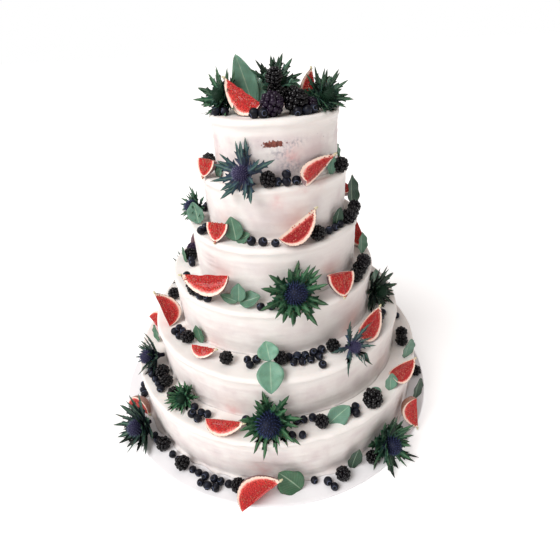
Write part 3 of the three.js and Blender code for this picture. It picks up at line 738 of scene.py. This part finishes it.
def blueberry_look():
    look = Look("blueberry", Specular_IOR_Level=0.22)
    bloom = look.noise(look.place(), 130, 4)
    skin = look.ramp(bloom, (0.3, "05060b"), (0.55, "0c101b"), (0.8, "2f374b"))
    skin = look.mix(look.ramp(look.value("tone"), (0.0, 0.0), (1.0, 0.5)), skin, colour("120f1d"))
    crown = look.ramp(look.value("crown"), (0.0, 0.0), (0.35, 1.0))
    ring = look.ramp(look.value("crown"), (0.4, "5a6480"), (0.8, "06070c"))
    base = look.mix(crown, skin, ring)
    return look.finish(base, look.ramp(bloom, (0.3, 0.32), (0.7, 0.62)))


def bramble_look():
    look = Look("bramble", Specular_IOR_Level=0.3)
    tone = look.value("tone")
    base = look.ramp(tone, (0.0, "030204"), (0.75, "0a070d"), (1.0, "33203c"))
    shade = look.ramp(look.noise(look.place(), 240, 2), (0.3, 0.7), (0.7, 1.5))
    return look.finish(look.mix(1.0, base, shade, "MULTIPLY"), 0.16)

# Shapes

def icing_outline(index):
    """Radius, height and outward direction along a tier's outline, from its foot to the top's middle."""
    radius, height, _, _ = TIERS[index]
    top = ring_of(index)[0]
    foot = ring_of(index + 1)[0]
    wall = radius - WALL_INSET
    spread = FOOT_SPREAD[index]
    rows = [(wall * 0.5, foot - 0.3, 0, -1), (wall + spread, foot - 0.3, 1, 0)]
    for part in (0.25, 0.5, 0.75, 1):
        rows.append((wall + spread * (1 - part) ** 2.2, foot + FOOT_HEIGHT * part, 1, 0))
    steps = int((height - CREASE_DROP - FOOT_HEIGHT) / WALL_STEP)
    for i in range(1, steps + 1):
        part = i / steps
        crease = CREASE_DEPTH * 0.5 * np.exp(-((1 - part) * steps / 1.6) ** 2)
        rows.append((wall - crease, foot + FOOT_HEIGHT + part * (height - CREASE_DROP - FOOT_HEIGHT), 1, 0))
    for turn in np.radians(np.linspace(-LIP_START, 90, 10)):
        out, up = math.cos(turn), math.sin(turn)
        rows.append((radius - LIP_RADIUS * (1 - out), top - LIP_RADIUS * (1 - up), out, up))
    inner = 4 if index == 0 else max(TIERS[index - 1][0] - 10, 4)
    start = radius - LIP_RADIUS - LEDGE_STEP
    for r in np.arange(start, inner, -LEDGE_STEP):
        dip = LEDGE_DROP * min(1, (start - r) / 6)
        rows.append((r, top - dip, 0, 1))
    rows.append((inner * 0.5, top - LEDGE_DROP, 0, 1))
    return np.array(rows)


def spot(points, index, angle, up, half_width, half_height):
    """How near each point is to a place on a tier's wall, from 1 there to 0 well away."""
    _, _, x, y = TIERS[index]
    foot = ring_of(index + 1)[0]
    radius = TIERS[index][0]
    around = np.degrees(np.arctan2(points[:, 0] - x, -(points[:, 1] - y))) - angle
    along = np.radians((around + 180) % 360 - 180) * radius / half_width
    rise = (points[:, 2] - foot - up) / half_height
    return np.exp(-(along**2 + rise**2))


def icing_push(index, outline, columns, flat):
    """How far the icing's surface stands out from a plain turned shape, in millimetres."""
    radius = TIERS[index][0]
    top = ring_of(index)[0]
    waves = sum(
        depth * noise(flat / [wide, wide, high], index + seed)
        for depth, wide, high, seed in ICING_WAVES
    )
    pits = -PIT_DEPTH * np.clip(noise(flat / PIT_SIZE, index + 29) - 0.5, 0, 1)
    on_lip = np.exp(-(((outline[:, 0] - radius) ** 2 + (outline[:, 1] - top + LIP_RADIUS) ** 2) / 50))
    lip = np.repeat(on_lip, columns) * (LIP_UNEVEN * noise(flat / [15, 15, 60], index + 39) - 0.3)
    push = (waves + pits + lip).reshape(len(outline), columns)
    push[:2] = 0
    foot = np.exp(-((outline[:, 1] - ring_of(index + 1)[0]) / FOOT_HEIGHT) ** 2) * (outline[:, 2] > 0.5)
    skirt = FOOT_SPREAD[index] * noise(flat / [16, 16, 40], index + 49).reshape(push.shape)
    return push + foot[:, None] * skirt * SKIRT_UNEVEN


def icing_values(index, points, fig_places):
    """How much grey film, juice, scraped and smeared icing is at each point of a tier; the film is cake
    showing through, stronger on the two lowest tiers to darken them.
    """
    radius, _, x, y = TIERS[index]
    radial = np.hypot(points[:, 0] - x, points[:, 1] - y)
    rise = ring_of(index)[0] - CREASE_DROP - points[:, 2]
    below = np.clip(rise / 8, 0, 1) * (radial > radius - 12)
    zeros = np.zeros(len(points))
    juice = zeros.copy()
    for *place, strength in STAINS:
        if place[0] == index:
            juice += strength * spot(points, *place)
    for place in fig_places:
        near = np.exp(-(np.linalg.norm(points - place, axis=1) / FIG_STAIN) ** 2)
        juice += FIG_STAIN_STRENGTH * near
    bare = spot(points, *BARE) if BARE[0] == index else zeros
    smear = sum((spot(points, *place) for place in SMEARS if place[0] == index), zeros)
    return dict(thin=below * WALL_FILM[index], juice=juice, bare=bare, smear=smear)


def make_icing(index, look, fig_places):
    radius, _, x, y = TIERS[index]
    outline = icing_outline(index)
    columns = int(2 * math.pi * radius / ICING_STEP)
    out = circle(columns)
    along = np.concatenate([[0], np.cumsum(np.hypot(*np.diff(outline[:, :2], axis=0).T))])
    grid = lathe(outline, out) + [x, y, 0]
    facing = lathe(outline[:, 2:], out)
    # Places on the icing laid flat, so that strokes run round the tier
    flat = np.empty(grid.shape)
    flat[..., :2] = out[None, :, :2] * radius
    flat[..., 2] = along[:, None]
    push = icing_push(index, outline, columns, flat.reshape(-1, 3))
    grid = grid + facing * push[..., None]
    points, faces = capped_grid(grid, [x, y, outline[0, 1]], [x, y, outline[-1, 1]], True)
    heap = Heap()
    heap.add(points, faces, **icing_values(index, points, fig_places))
    return heap.piece(f"icing_{index + 1}", [look], f"tier_{index + 1}")


def make_board(look):
    outline = [(120, 0.1), (252, 0.1), (254, 0.7), (254.8, 2), (254.8, 4), (254, 5.4), (252.5, 6), (180, 6)]
    grid = lathe(np.array(outline), circle(220))
    points, faces = capped_grid(grid, [0, 0, 0.1], [0, 0, BOARD_THICKNESS], True)
    heap = Heap()
    heap.add(points, faces)
    return heap.piece("cake_board", [look], "board")


def solid_tester(node):
    """A test of whether a point in millimetres is inside a node."""
    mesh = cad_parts[node].data
    tree = BVHTree.FromPolygons([v.co[:] for v in mesh.vertices], [p.vertices[:] for p in mesh.polygons])

    def inside(point):
        place = Vector(point) * MM
        nearest, normal, _, _ = tree.find_nearest(place)
        return (place - nearest).dot(normal) < 0

    return inside


def berries_of(runs, kind):
    """The middle, radius and seed of each berry of one kind that the solids have."""
    found = []
    for run, row in enumerate(runs):
        k, first, last, out, rows, raised = [*row, *RUN_DEFAULTS[len(row) - 4:]]
        pitch = math.degrees(kind["pitch"] / (ring_of(k)[1] + out)) / rows
        for i in range(round((last - first) / pitch + 1e-9) + 1):
            radius = kind["radius"] + kind["spread"] * draw(run, i)
            angle = first + i * pitch + ANGLE_STRAY * pitch * draw(i, run + 0.5)
            away = out + kind["step"] * (i % rows) + BERRY_STRAY * draw(run + 0.3, i)
            place = seat(k, angle, away, raised + radius - PRESSED).translation
            if carriers[k](place):
                found.append((k, np.array(place), radius, run + i * 0.37))
    return found


def blueberry_shape():
    """A round berry with a small crown of lobes at its top, as points, faces and the crown's share."""
    columns = 20
    polar = np.array([0.1, 0.2, 0.29, 0.37, 0.45, 0.56, 0.75, 1, 1.3, 1.6, 1.9, 2.2, 2.5, 2.8, 3])
    turn = np.linspace(0, 2 * math.pi, columns, endpoint=False)
    lobes = 1 + 0.5 * np.cos(5 * turn)
    rim = 0.1 * np.exp(-(((polar - 0.37) / 0.07) ** 2))
    cup = -0.2 * np.clip((0.34 - polar) / 0.12, 0, 1)
    far = 1 + rim[:, None] * lobes + cup[:, None]
    flat = np.sin(polar)[:, None] * far
    high = np.cos(polar)[:, None] * far * 0.9
    grid = np.stack([flat * np.cos(turn), flat * np.sin(turn), high], -1)
    # The rows run from the top down, so they are turned over to face out
    points, faces = capped_grid(grid[::-1], [0, 0, -0.9], [0, 0, 0.7], True)
    crown = np.clip((0.5 - polar) / 0.16, 0, 1)[::-1]
    return points, faces, np.concatenate([[0], np.repeat(crown, columns), [1]])


def bramble_shape(seed):
    """A berry of small round drupelets, as points and faces."""
    ball, triangles = small_ball(1)
    count = 36
    points, faces = [], []
    for i in range(count):
        height = 1 - 2 * (i + 0.5) / count
        turn = i * math.pi * (3 - math.sqrt(5))
        flat = math.sqrt(1 - height * height)
        way = np.array([flat * math.cos(turn), flat * math.sin(turn), height])
        size = 0.3 * (1 + 0.12 * draw(i, seed))
        far = 0.76 + 0.05 * draw(seed, i)
        faces.append(triangles + len(points) * len(ball))
        points.append(ball * size + way * far * [1, 1, 1.06])
    core, core_triangles = small_ball(2)
    faces.append(core_triangles + count * len(ball))
    return np.concatenate([*points, core * 0.72]), [np.concatenate(faces)]


def make_blueberries(look, berries):
    shape, faces, crown = blueberry_shape()
    heap = Heap()
    for k, place, radius, seed in berries:
        middle = np.array([*ring_of(k)[2:], place[2]])
        out = (place - middle) / np.linalg.norm(place - middle)
        way = out + np.array([draw(seed, 3), draw(seed, 4), draw(seed, 5) + 0.5]) * 1.1
        tall = 1 + 0.06 * draw(seed, 6)
        points = (shape * [1, 1, tall]) @ towards(way).T * radius + place
        heap.add(points, faces, crown=crown, tone=0.5 + 0.5 * draw(seed, 7))
    return heap.piece("blueberries", [look], *CARRIERS)


def make_brambles(look, berries):
    shapes = [bramble_shape(seed) for seed in range(3)]
    heap = Heap()
    for i, (k, place, radius, seed) in enumerate(berries):
        points, faces = shapes[i % 3]
        middle = np.array([*ring_of(k)[2:], place[2]])
        out = (place - middle) / np.linalg.norm(place - middle)
        way = out * draw(seed, 8) + np.array([draw(seed, 3), draw(seed, 4), 0.8])
        tone = 0.5 + 0.5 * draw(seed, 9)
        heap.add(points @ towards(way).T * radius * 1.02 + place, faces, tone=tone**2)
    return heap.piece("brambles", [look], *CARRIERS)


def fig_half(u):
    """A fig's radius along its length, as a part of the widest."""
    widest = FIG_WIDEST**FIG_BLUNT * (1 - FIG_WIDEST) ** FIG_TAPER
    return u**FIG_BLUNT * (1 - u) ** FIG_TAPER / widest


def around_ends(start, grid, end):
    """The values at a capped grid's points."""
    return np.concatenate([[start], grid.ravel(), [end]])


def fig_rows(wedge):
    """The places along a fig of its rows of points, from the blossom end or the cut across it."""
    if wedge > FIG_QUARTER:
        return FIG_CUT_ACROSS + (1 - FIG_CUT_ACROSS) * np.sin(np.linspace(0, math.pi / 2, FIG_ROWS))[:-1]
    return (1 - np.cos(np.linspace(0, math.pi, FIG_ROWS)))[1:-1] / 2


def flesh_depth(half, flat, u, length, rimmed):
    """How far inside the rind a place is, as a part of the flesh's depth."""
    near = half - flat
    if rimmed:
        near = np.minimum(near, flat + 0.6)
    near = near * np.clip((0.99 - u) / 0.16, 0, 1)
    return near / (length * FLESH_DEPTH)


def add_cut_face(heap, fig, face, u, ridge):
    """A cut face of a fig: pale rind, then flesh with a rough surface. Returns its points and facing."""
    s = np.linspace(0, 1, CUT_COLUMNS)
    half = fig.deep * fig.length * fig_half(u)[:, None]
    a = math.radians(fig.wedge) * face
    across = np.array([0, -math.cos(a), -math.sin(a)])
    facing = np.array([0, math.sin(a), -math.cos(a)]) * (1 if face else -1)
    flat = half * s
    line = fig.stalk * (u - 0.5) * fig.length
    grid = line[:, None, None] * [1, 0, 0] + flat[..., None] * across
    place = np.stack(np.broadcast_arrays(line[:, None], flat, fig.number * 7 + face * 50.0), -1)
    rough = noise(place.reshape(-1, 3) / FLESH_GRAIN, fig.number).reshape(flat.shape)
    window = np.clip((half - flat) / 4 - 0.5, 0, 1) * np.clip(flat / 3, 0, 1)
    relief = window * FLESH_RELIEF * (rough - 1)
    grid += relief[..., None] * facing + (ridge * np.clip(1 - flat / 6, 0, 1))[..., None] * [0, 1, 0]
    depth = flesh_depth(half, flat, u[:, None], fig.length, fig.number in RIMMED)
    first = None if fig.wedge > FIG_QUARTER else [-fig.stalk * fig.length / 2, 0, 0]
    points, faces = capped_grid(grid, first, [fig.stalk * fig.length / 2, 0, 0], False)
    kept = np.concatenate([place[0, :1], place.reshape(-1, 3), place[-1, :1]])
    depths = around_ends(0, depth, 0)
    if first is None:
        kept, depths = kept[1:], depths[1:]
    heap.add(points, faces, 0, (fig.stalk < 0) != (face == 1), depth=depths, cut=kept, tone=0.0)
    return grid, facing


def add_seeds(heap, fig, face, grid, facing):
    ball, triangles = small_ball(1)
    rows, columns = grid.shape[:2]
    start = 0.1 if fig.wedge > FIG_QUARTER else 0.5
    for i in range(FIG_SEEDS):
        r = int(start * rows + 0.32 * rows * draw(fig.number + face * 0.5, i)) % rows
        share = 0.06 + 0.6 * abs(draw(i, fig.number + face * 0.7))
        c = share * (columns - 1)
        low = int(c)
        place = grid[r, low] * (1 + low - c) + grid[r, low + 1] * (c - low)
        size = SEED_SIZE * (1 + 0.25 * draw(i, fig.number)) * np.array([1.3, 0.9, 0.7])
        shape = ball * size + place + facing * 0.1
        heap.add(shape, [triangles], 1, depth=1.0, cut=shape, tone=0.0)


def add_cross_cut(heap, fig, u, turns):
    """The face where a fig piece is cut across, rimmed by the skin."""
    half = fig.deep * fig.length * fig_half(u[0])
    s = np.linspace(0, 1, CUT_COLUMNS)[1:]
    across = np.stack([np.zeros(len(turns)), -np.cos(turns), -np.sin(turns)], -1)
    grid = (s * half)[:, None, None] * across + [fig.stalk * (u[0] - 0.5) * fig.length, 0, 0]
    last = grid[0, 0] * [1, 0, 0]
    points, faces = capped_grid(grid[::-1], None, last, False)
    depth = np.concatenate([np.repeat((half - s * half)[::-1], len(turns)), [half]])
    depth /= fig.length * FLESH_DEPTH
    heap.add(points, faces, 0, fig.stalk > 0, depth=depth, cut=points + fig.number * 7, tone=0.0)


def add_stalk(heap, fig, tone):
    """The short end of the stalk, on the ridge of the piece."""
    end = FIG_STALK * fig.length
    outline = np.array([(-0.4, 1.9), (0.0, 1.6), (0.5, 1.2), (1.0, 1.1)]) * [end, 1]
    ring = circle(8)[:, [2, 0, 1]]
    grid = outline[:, 1, None, None] * ring + outline[:, 0, None, None] * [1, 0, 0]
    points, faces = capped_grid(grid, [-0.5 * end, 0, 0], [1.05 * end, 0, 0], True)
    points = points * [fig.stalk, 1, 1] + [fig.stalk * fig.length / 2, -0.8, -0.6]
    heap.add(points, faces, 3, fig.stalk < 0, depth=0.0, cut=points, tone=tone)


def add_skin(heap, fig, u, turns, tone):
    half = fig.deep * fig.length * fig_half(u)
    across = np.stack([np.zeros(len(turns)), -np.cos(turns), -np.sin(turns)], -1)
    ribs = 1 + RIB_DEPTH * np.sin(turns * 9 + fig.number) * np.sin(math.pi * turns / turns[-1])
    if fig.wedge > FIG_QUARTER:
        ribs = np.ones(len(turns))
    line = fig.stalk * (u - 0.5) * fig.length
    grid = line[:, None, None] * [1, 0, 0] + (half[:, None] * ribs)[..., None] * across
    first = None if fig.wedge > FIG_QUARTER else [-fig.stalk * fig.length / 2, 0, 0]
    points, faces = capped_grid(grid, first, [fig.stalk * fig.length / 2, 0, 0], False)
    kept = np.stack([points[:, 0], points[:, 1] + points[:, 2], points[:, 2]], -1)
    heap.add(points, faces, 2, fig.stalk < 0, depth=0.0, cut=kept, tone=tone)


def shift_to_solid(node, points):
    """The move that puts points in the middle of a node's box, a little sunk."""
    low, high = (np.array(corner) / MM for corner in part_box(node))
    shift = (low + high) / 2 - (points.min(0) + points.max(0)) / 2
    shift[2] = low[2] - FIG_SINK - points[:, 2].min()
    return shift


def make_fig(number, row, looks):
    k, angle, out, spin, stalk, lean, turn, length, wedge, deep = row
    fig = Fig(number, stalk, length, wedge, deep)
    heap = Heap()
    u = fig_rows(wedge)
    line = np.stack([u * length / 7, np.full(len(u), number * 3.1), np.zeros(len(u))], -1)
    ridge = (0.9 * noise(line, 5) * np.sin(math.pi * u))[:, None]
    for face in (0, 1):
        grid, facing = add_cut_face(heap, fig, face, u, ridge)
        add_seeds(heap, fig, face, grid, facing)
    turns = np.linspace(0, math.radians(wedge), SKIN_COLUMNS)
    if wedge > FIG_QUARTER:
        add_cross_cut(heap, fig, u, turns)
    tone = FIG_TONES.get(number, 0.5 + 0.5 * draw(number, 12))
    add_skin(heap, fig, u, turns, tone)
    matrix = seat(k, angle, out, 0, turn, lean, spin)
    shift = shift_to_solid(f"fig_{number}", moved(np.concatenate(heap.points), matrix))
    add_stalk(heap, fig, tone)
    heap.points = [moved(part, matrix) + shift for part in heap.points]
    heap.values["dark_crimson"] = [np.full(heap.count, DARK_CRIMSON.get(number, 0.0))]
    return heap.piece(f"fig_piece_{number}", looks, f"fig_{number}")


def clear_of_cake(points, k):
    """Points moved out of the wall and up from the ledge of ring k.

    Nothing hangs below the top or below the board.
    """
    height, radius, x, y = ring_of(k)
    held = points.copy()
    if k:
        tall = TIERS[k - 1][1]
        way = points[:, :2] - [x, y]
        far = np.linalg.norm(way, axis=1)
        hit = (far < radius + CLEAR) & (points[:, 2] < height + tall)
        held[hit, :2] = [x, y] + way[hit] / far[hit, None] * (radius + CLEAR)
    reach = TIERS[k][0] if k < len(TIERS) else BOARD_RADIUS
    middle = TIERS[k][2:] if k < len(TIERS) else (0, 0)
    over = (np.linalg.norm(points[:, :2] - middle, axis=1) < reach) | (k in (0, len(TIERS)))
    held[:, 2] = np.where(over, np.maximum(held[:, 2], height + CLEAR), held[:, 2])
    return held


def bract(root, tip, bow, width):
    """A pointed blade with a few forward teeth along both edges, closed and thin."""
    t, left, right = BRACT_SHAPE.T
    middle = (root + tip) / 2 + bow
    line = ((1 - t) ** 2)[:, None] * root + (2 * t * (1 - t))[:, None] * middle + (t**2)[:, None] * tip
    along = np.gradient(line, axis=0)
    along /= np.linalg.norm(along, axis=1)[:, None]
    side = np.cross(along, [0, 0, 1.0])
    side /= np.maximum(np.linalg.norm(side, axis=1), 1e-6)[:, None]
    face = np.cross(side, along)
    half = width / 2 * np.minimum(t / 0.25, 1) ** 0.5 * (1.08 - t) ** 0.75
    lift = face * (width * 0.14 * np.sin(math.pi * t))[:, None]
    thick = face * BRACT_THICKNESS / 2
    forward = along * np.linalg.norm(tip - root) * TOOTH_FORWARD
    edges = []
    for sign, teeth in ((-1, left), (1, right)):
        wide = half * (1.05 + TOOTH_OUT * teeth)
        edges.append(line + side * (sign * wide)[:, None] + lift + forward * teeth[:, None])
    grid = np.stack([edges[0], line - thick, edges[1], line + thick], 1)
    points, faces = capped_grid(grid, root, tip, True)
    across = np.tile([1.0, 0, 1, 0], len(t))
    return points, faces, around_ends(0, np.repeat(t, 4), 1), around_ends(0, across, 0)


def add_bracts(heap, number, span, head, tone):
    seed = number - 1
    shade = THISTLE_SHADES.get(number, 0.0)
    for layer, (count, start, reach, forward, width) in enumerate(BRACT_LAYERS):
        for i in range(count):
            if number in SPARSE and (i + layer) % 2:
                continue
            turned = 2 * math.pi * (i + start + BRACT_ASTRAY * draw(seed + layer * 3, i + 5)) / count
            far = span / 2 * reach * (1 + BRACT_UNEVEN * draw(seed + layer * 0.5, i))
            away = np.array([math.cos(turned), math.sin(turned), 0])
            high = span * (BRACT_FORWARD + forward + BRACT_STRAY * draw(i, seed + 2 + layer))
            root = away * head * 0.5 + [0, 0, head * (-0.8 + 0.3 * layer)]
            tip = away * far + [0, 0, high]
            bow = np.array([0, 0, -span * 0.05 * (1 + draw(i, seed + layer))])
            slim = SPARSE.get(number, 1) + 0.2 * draw(i + layer * 5, seed)
            dark = min(max(shade + 0.3 * draw(seed + 7, i + layer * 3), 0), 1)
            points, faces, along, across = bract(root, tip, bow, span * width * slim)
            heap.add(points, faces, 0, along=along, across=across, tone=tone, shade=dark)


def make_thistle(number, row, looks):
    k, angle, out, up, turn, lean, span, head = row
    seed = number - 1
    tone = THISTLE_TONES.get(number, 0.25 + 0.25 * draw(seed, 31))
    heap = Heap()
    add_bracts(heap, number, span, head, tone)
    add_head(heap, head, seed, tone, number in TUFTS)
    matrix = seat(k, angle, out, up, turn, lean)
    heap.points = [clear_of_cake(moved(part, matrix), k) for part in heap.points]
    return heap.piece(f"thistle_head_{number}", looks, f"thistle_{number}")


def add_head(heap, head, seed, tone, tuft):
    """The stem and the dome of short spikes."""
    outline = [(0.3, -2), (0.32, -1.4), (0.62, -0.9), (0.9, -0.3), (0.98, 0.3), (0.86, 0.9), (0.5, 1.4)]
    grid = lathe(np.array(outline), circle(14)) * head
    points, faces = capped_grid(grid, [0, 0, -2.1 * head], [0, 0, 1.6 * head], True)
    share = np.clip(points[:, 2] / head / 2, 0, 0.3)
    values = dict(across=1.0, tone=tone, shade=float(tuft))
    heap.add(points, faces, 1, along=share, **values)
    corner = np.array([[1, 0, 0], [0, 1, 0], [-1, 0, 0], [0, -1, 0]])
    forward = [[i, (i + 1) % 4, 4] for i in range(4)]
    spike_faces = np.array(forward + [[b, a, 5] for a, b, _ in forward])
    for i in range(HEAD_SPIKES):
        rise = 1 - 1.05 * (i + 0.5) / HEAD_SPIKES
        turned = i * math.pi * (3 - math.sqrt(5))
        flat = math.sqrt(max(1 - rise * rise, 0))
        way = np.array([flat * math.cos(turned), flat * math.sin(turned), rise * 1.1 + 0.15])
        base = way * head * [0.86, 0.86, 1.1]
        long = head * (0.55 + 0.12 * draw(i, seed))
        spike = np.concatenate([corner * head * 0.09, [[0, 0, long], [0, 0, -head * 0.1]]])
        points = spike @ towards(way).T + base
        along = np.array([0.25, 0.25, 0.25, 0.25, 1, 0])
        heap.add(points, [spike_faces], 1, along=along, **values)


def add_leaf(heap, row, tone):
    """A thin blade with a groove along its middle and a slightly wavy edge."""
    k, angle, out, up, turn, lean, spin, length, width = row
    u = np.linspace(0, 1, LEAF_ROWS + 2)[1:-1]
    c = np.linspace(-1, 1, LEAF_COLUMNS)
    spread = np.sin(math.pi * u**LEAF_LOW) ** LEAF_FULL
    flat = c * spread[:, None] * width / 2
    wavy = 0.035 * width * np.sin(u[:, None] * 17 + angle) * c**2 * np.sign(c)
    groove = -0.5 * np.exp(-((c / 0.12) ** 2))
    high = LEAF_CUP * width * c**2 * spread[:, None] + LEAF_BEND * length * (u**2)[:, None] + wavy + groove
    face = np.stack([flat, np.broadcast_to(u[:, None] * length, flat.shape), high], -1)
    back = face - [0, 0, LEAF_THICKNESS]
    edge = face[:, [0, -1]] - [0, 0, LEAF_THICKNESS / 2]
    # Round one blade: its face from left to right, and its back from right to left
    grid = np.concatenate([face, back[:, ::-1]], 1)
    grid[:, [0, 2 * LEAF_COLUMNS - 1]] = (edge[:, :1] + [0, 0, 0.1]).repeat(2, 1) - [[0, 0, 0], [0, 0, 0.2]]
    ends = [[0, 0, -LEAF_THICKNESS / 2], [0, length, LEAF_BEND * length - LEAF_THICKNESS / 2]]
    points, faces = capped_grid(grid, *ends, True)
    across = np.abs(np.concatenate([c, c[::-1]]))
    side = around_ends(0, np.tile(across, (len(u), 1)), 0)
    along = around_ends(0, np.repeat(u, 2 * LEAF_COLUMNS), 1)
    matrix = seat(k, angle, out, up, turn, lean, spin)
    heap.add(moved(points, matrix), faces, across=side, along=along, tone=tone)


def make_camera():
    turn, down, roll = (math.radians(a) for a in (CAMERA_TURN, CAMERA_DOWN, CAMERA_ROLL))
    forward = Vector((math.sin(turn) * math.cos(down), math.cos(turn) * math.cos(down), -math.sin(down)))
    right = Vector((math.cos(turn), -math.sin(turn), 0))
    up = right.cross(forward)
    across = math.cos(roll) * right + math.sin(roll) * up
    upward = -math.sin(roll) * right + math.cos(roll) * up
    data = bpy.data.cameras.new("camera")
    data.lens = CAMERA_LENS
    data.sensor_width = SENSOR
    camera = bpy.data.objects.new("camera", data)
    axes = Matrix((across, upward, -forward)).transposed().to_4x4()
    camera.matrix_world = Matrix.Translation(CAMERA_PLACE) @ axes
    bpy.context.scene.collection.objects.link(camera)
    bpy.context.scene.camera = camera


def make_floor():
    bpy.ops.mesh.primitive_plane_add(size=60, location=(0, 0, -0.001))
    floor = bpy.context.object
    floor.name = "floor"
    glow = dict(Emission_Color=(1, 1, 1, 1), Emission_Strength=FLOOR_GLOW)
    plain = Look("floor", Base_Color=(0.93, 0.92, 0.92, 1), Roughness=0.9, Specular_IOR_Level=0, **glow)
    floor.data.materials.append(plain.material)


def make_surround():
    """Soft light from all sides that the camera sees as white."""
    world = bpy.data.worlds.new("studio")
    world.use_nodes = True
    tree = world.node_tree
    around = tree.nodes["Background"]
    around.inputs["Color"].default_value = (1, 0.93, 0.89, 1)
    around.inputs["Strength"].default_value = SKY
    white = tree.nodes.new("ShaderNodeBackground")
    white.inputs["Color"].default_value = (1, 1, 1, 1)
    seen = tree.nodes.new("ShaderNodeLightPath")
    either = tree.nodes.new("ShaderNodeMixShader")
    tree.links.new(seen.outputs["Is Camera Ray"], either.inputs[0])
    tree.links.new(around.outputs[0], either.inputs[1])
    tree.links.new(white.outputs[0], either.inputs[2])
    tree.links.new(either.outputs[0], tree.nodes["World Output"].inputs["Surface"])
    bpy.context.scene.world = world


def make_key():
    """A broad light from the upper left."""
    data = bpy.data.lights.new("key", "SUN")
    data.energy = KEY
    data.angle = math.radians(KEY_SOFTNESS)
    key = bpy.data.objects.new("key", data)
    key.rotation_mode = "QUATERNION"
    key.rotation_quaternion = (-Vector(KEY_FROM)).to_track_quat("-Z", "Y")
    bpy.context.scene.collection.objects.link(key)


make_camera()
make_floor()
make_surround()
make_key()
bpy.context.scene.view_settings.view_transform = "Standard"
carriers = [solid_tester(node) for node in CARRIERS]

icing = icing_look()
fig_middles = [sum(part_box(f"fig_{i + 1}"), Vector()) / 2 / MM for i in range(len(FIGS))]
fig_places = [np.array(place) - [0, 0, FIG_STAIN_DROP] for place in fig_middles]
for index in range(len(TIERS)):
    make_icing(index, icing, fig_places)
make_board(board_look())

brambles = berries_of(BRAMBLES, BRAMBLE) + berries_of(BIG_BRAMBLES, BIG_BRAMBLE)
make_brambles(bramble_look(), brambles)
make_blueberries(blueberry_look(), berries_of(BLUEBERRIES, BLUEBERRY))

fig_looks = [flesh_look(), seed_look(), skin_look(), stalk_look()]
for i, row in enumerate(FIGS):
    make_fig(i + 1, row, fig_looks)

thistle_looks = [bract_look(), floret_look()]
for i, row in enumerate(THISTLES):
    make_thistle(i + 1, row, thistle_looks)

leaf = leaf_look()
leaves = Heap()
for row in LEAVES:
    dark = (row[0], row[1]) in DARK_LEAVES
    add_leaf(leaves, row, DARK_LEAF_TONE if dark else LEAF_TONE + 0.2 * draw(row[1], row[2]))
leaves.piece("leaves", [leaf], *CARRIERS)
for name, rows in SPRIGS.items():
    sprig = Heap()
    for i, row in enumerate(rows):
        add_leaf(sprig, row, SPRIG_TONES[name] + 0.05 * i)
    sprig.piece(f"{name}_blades", [leaf], name)
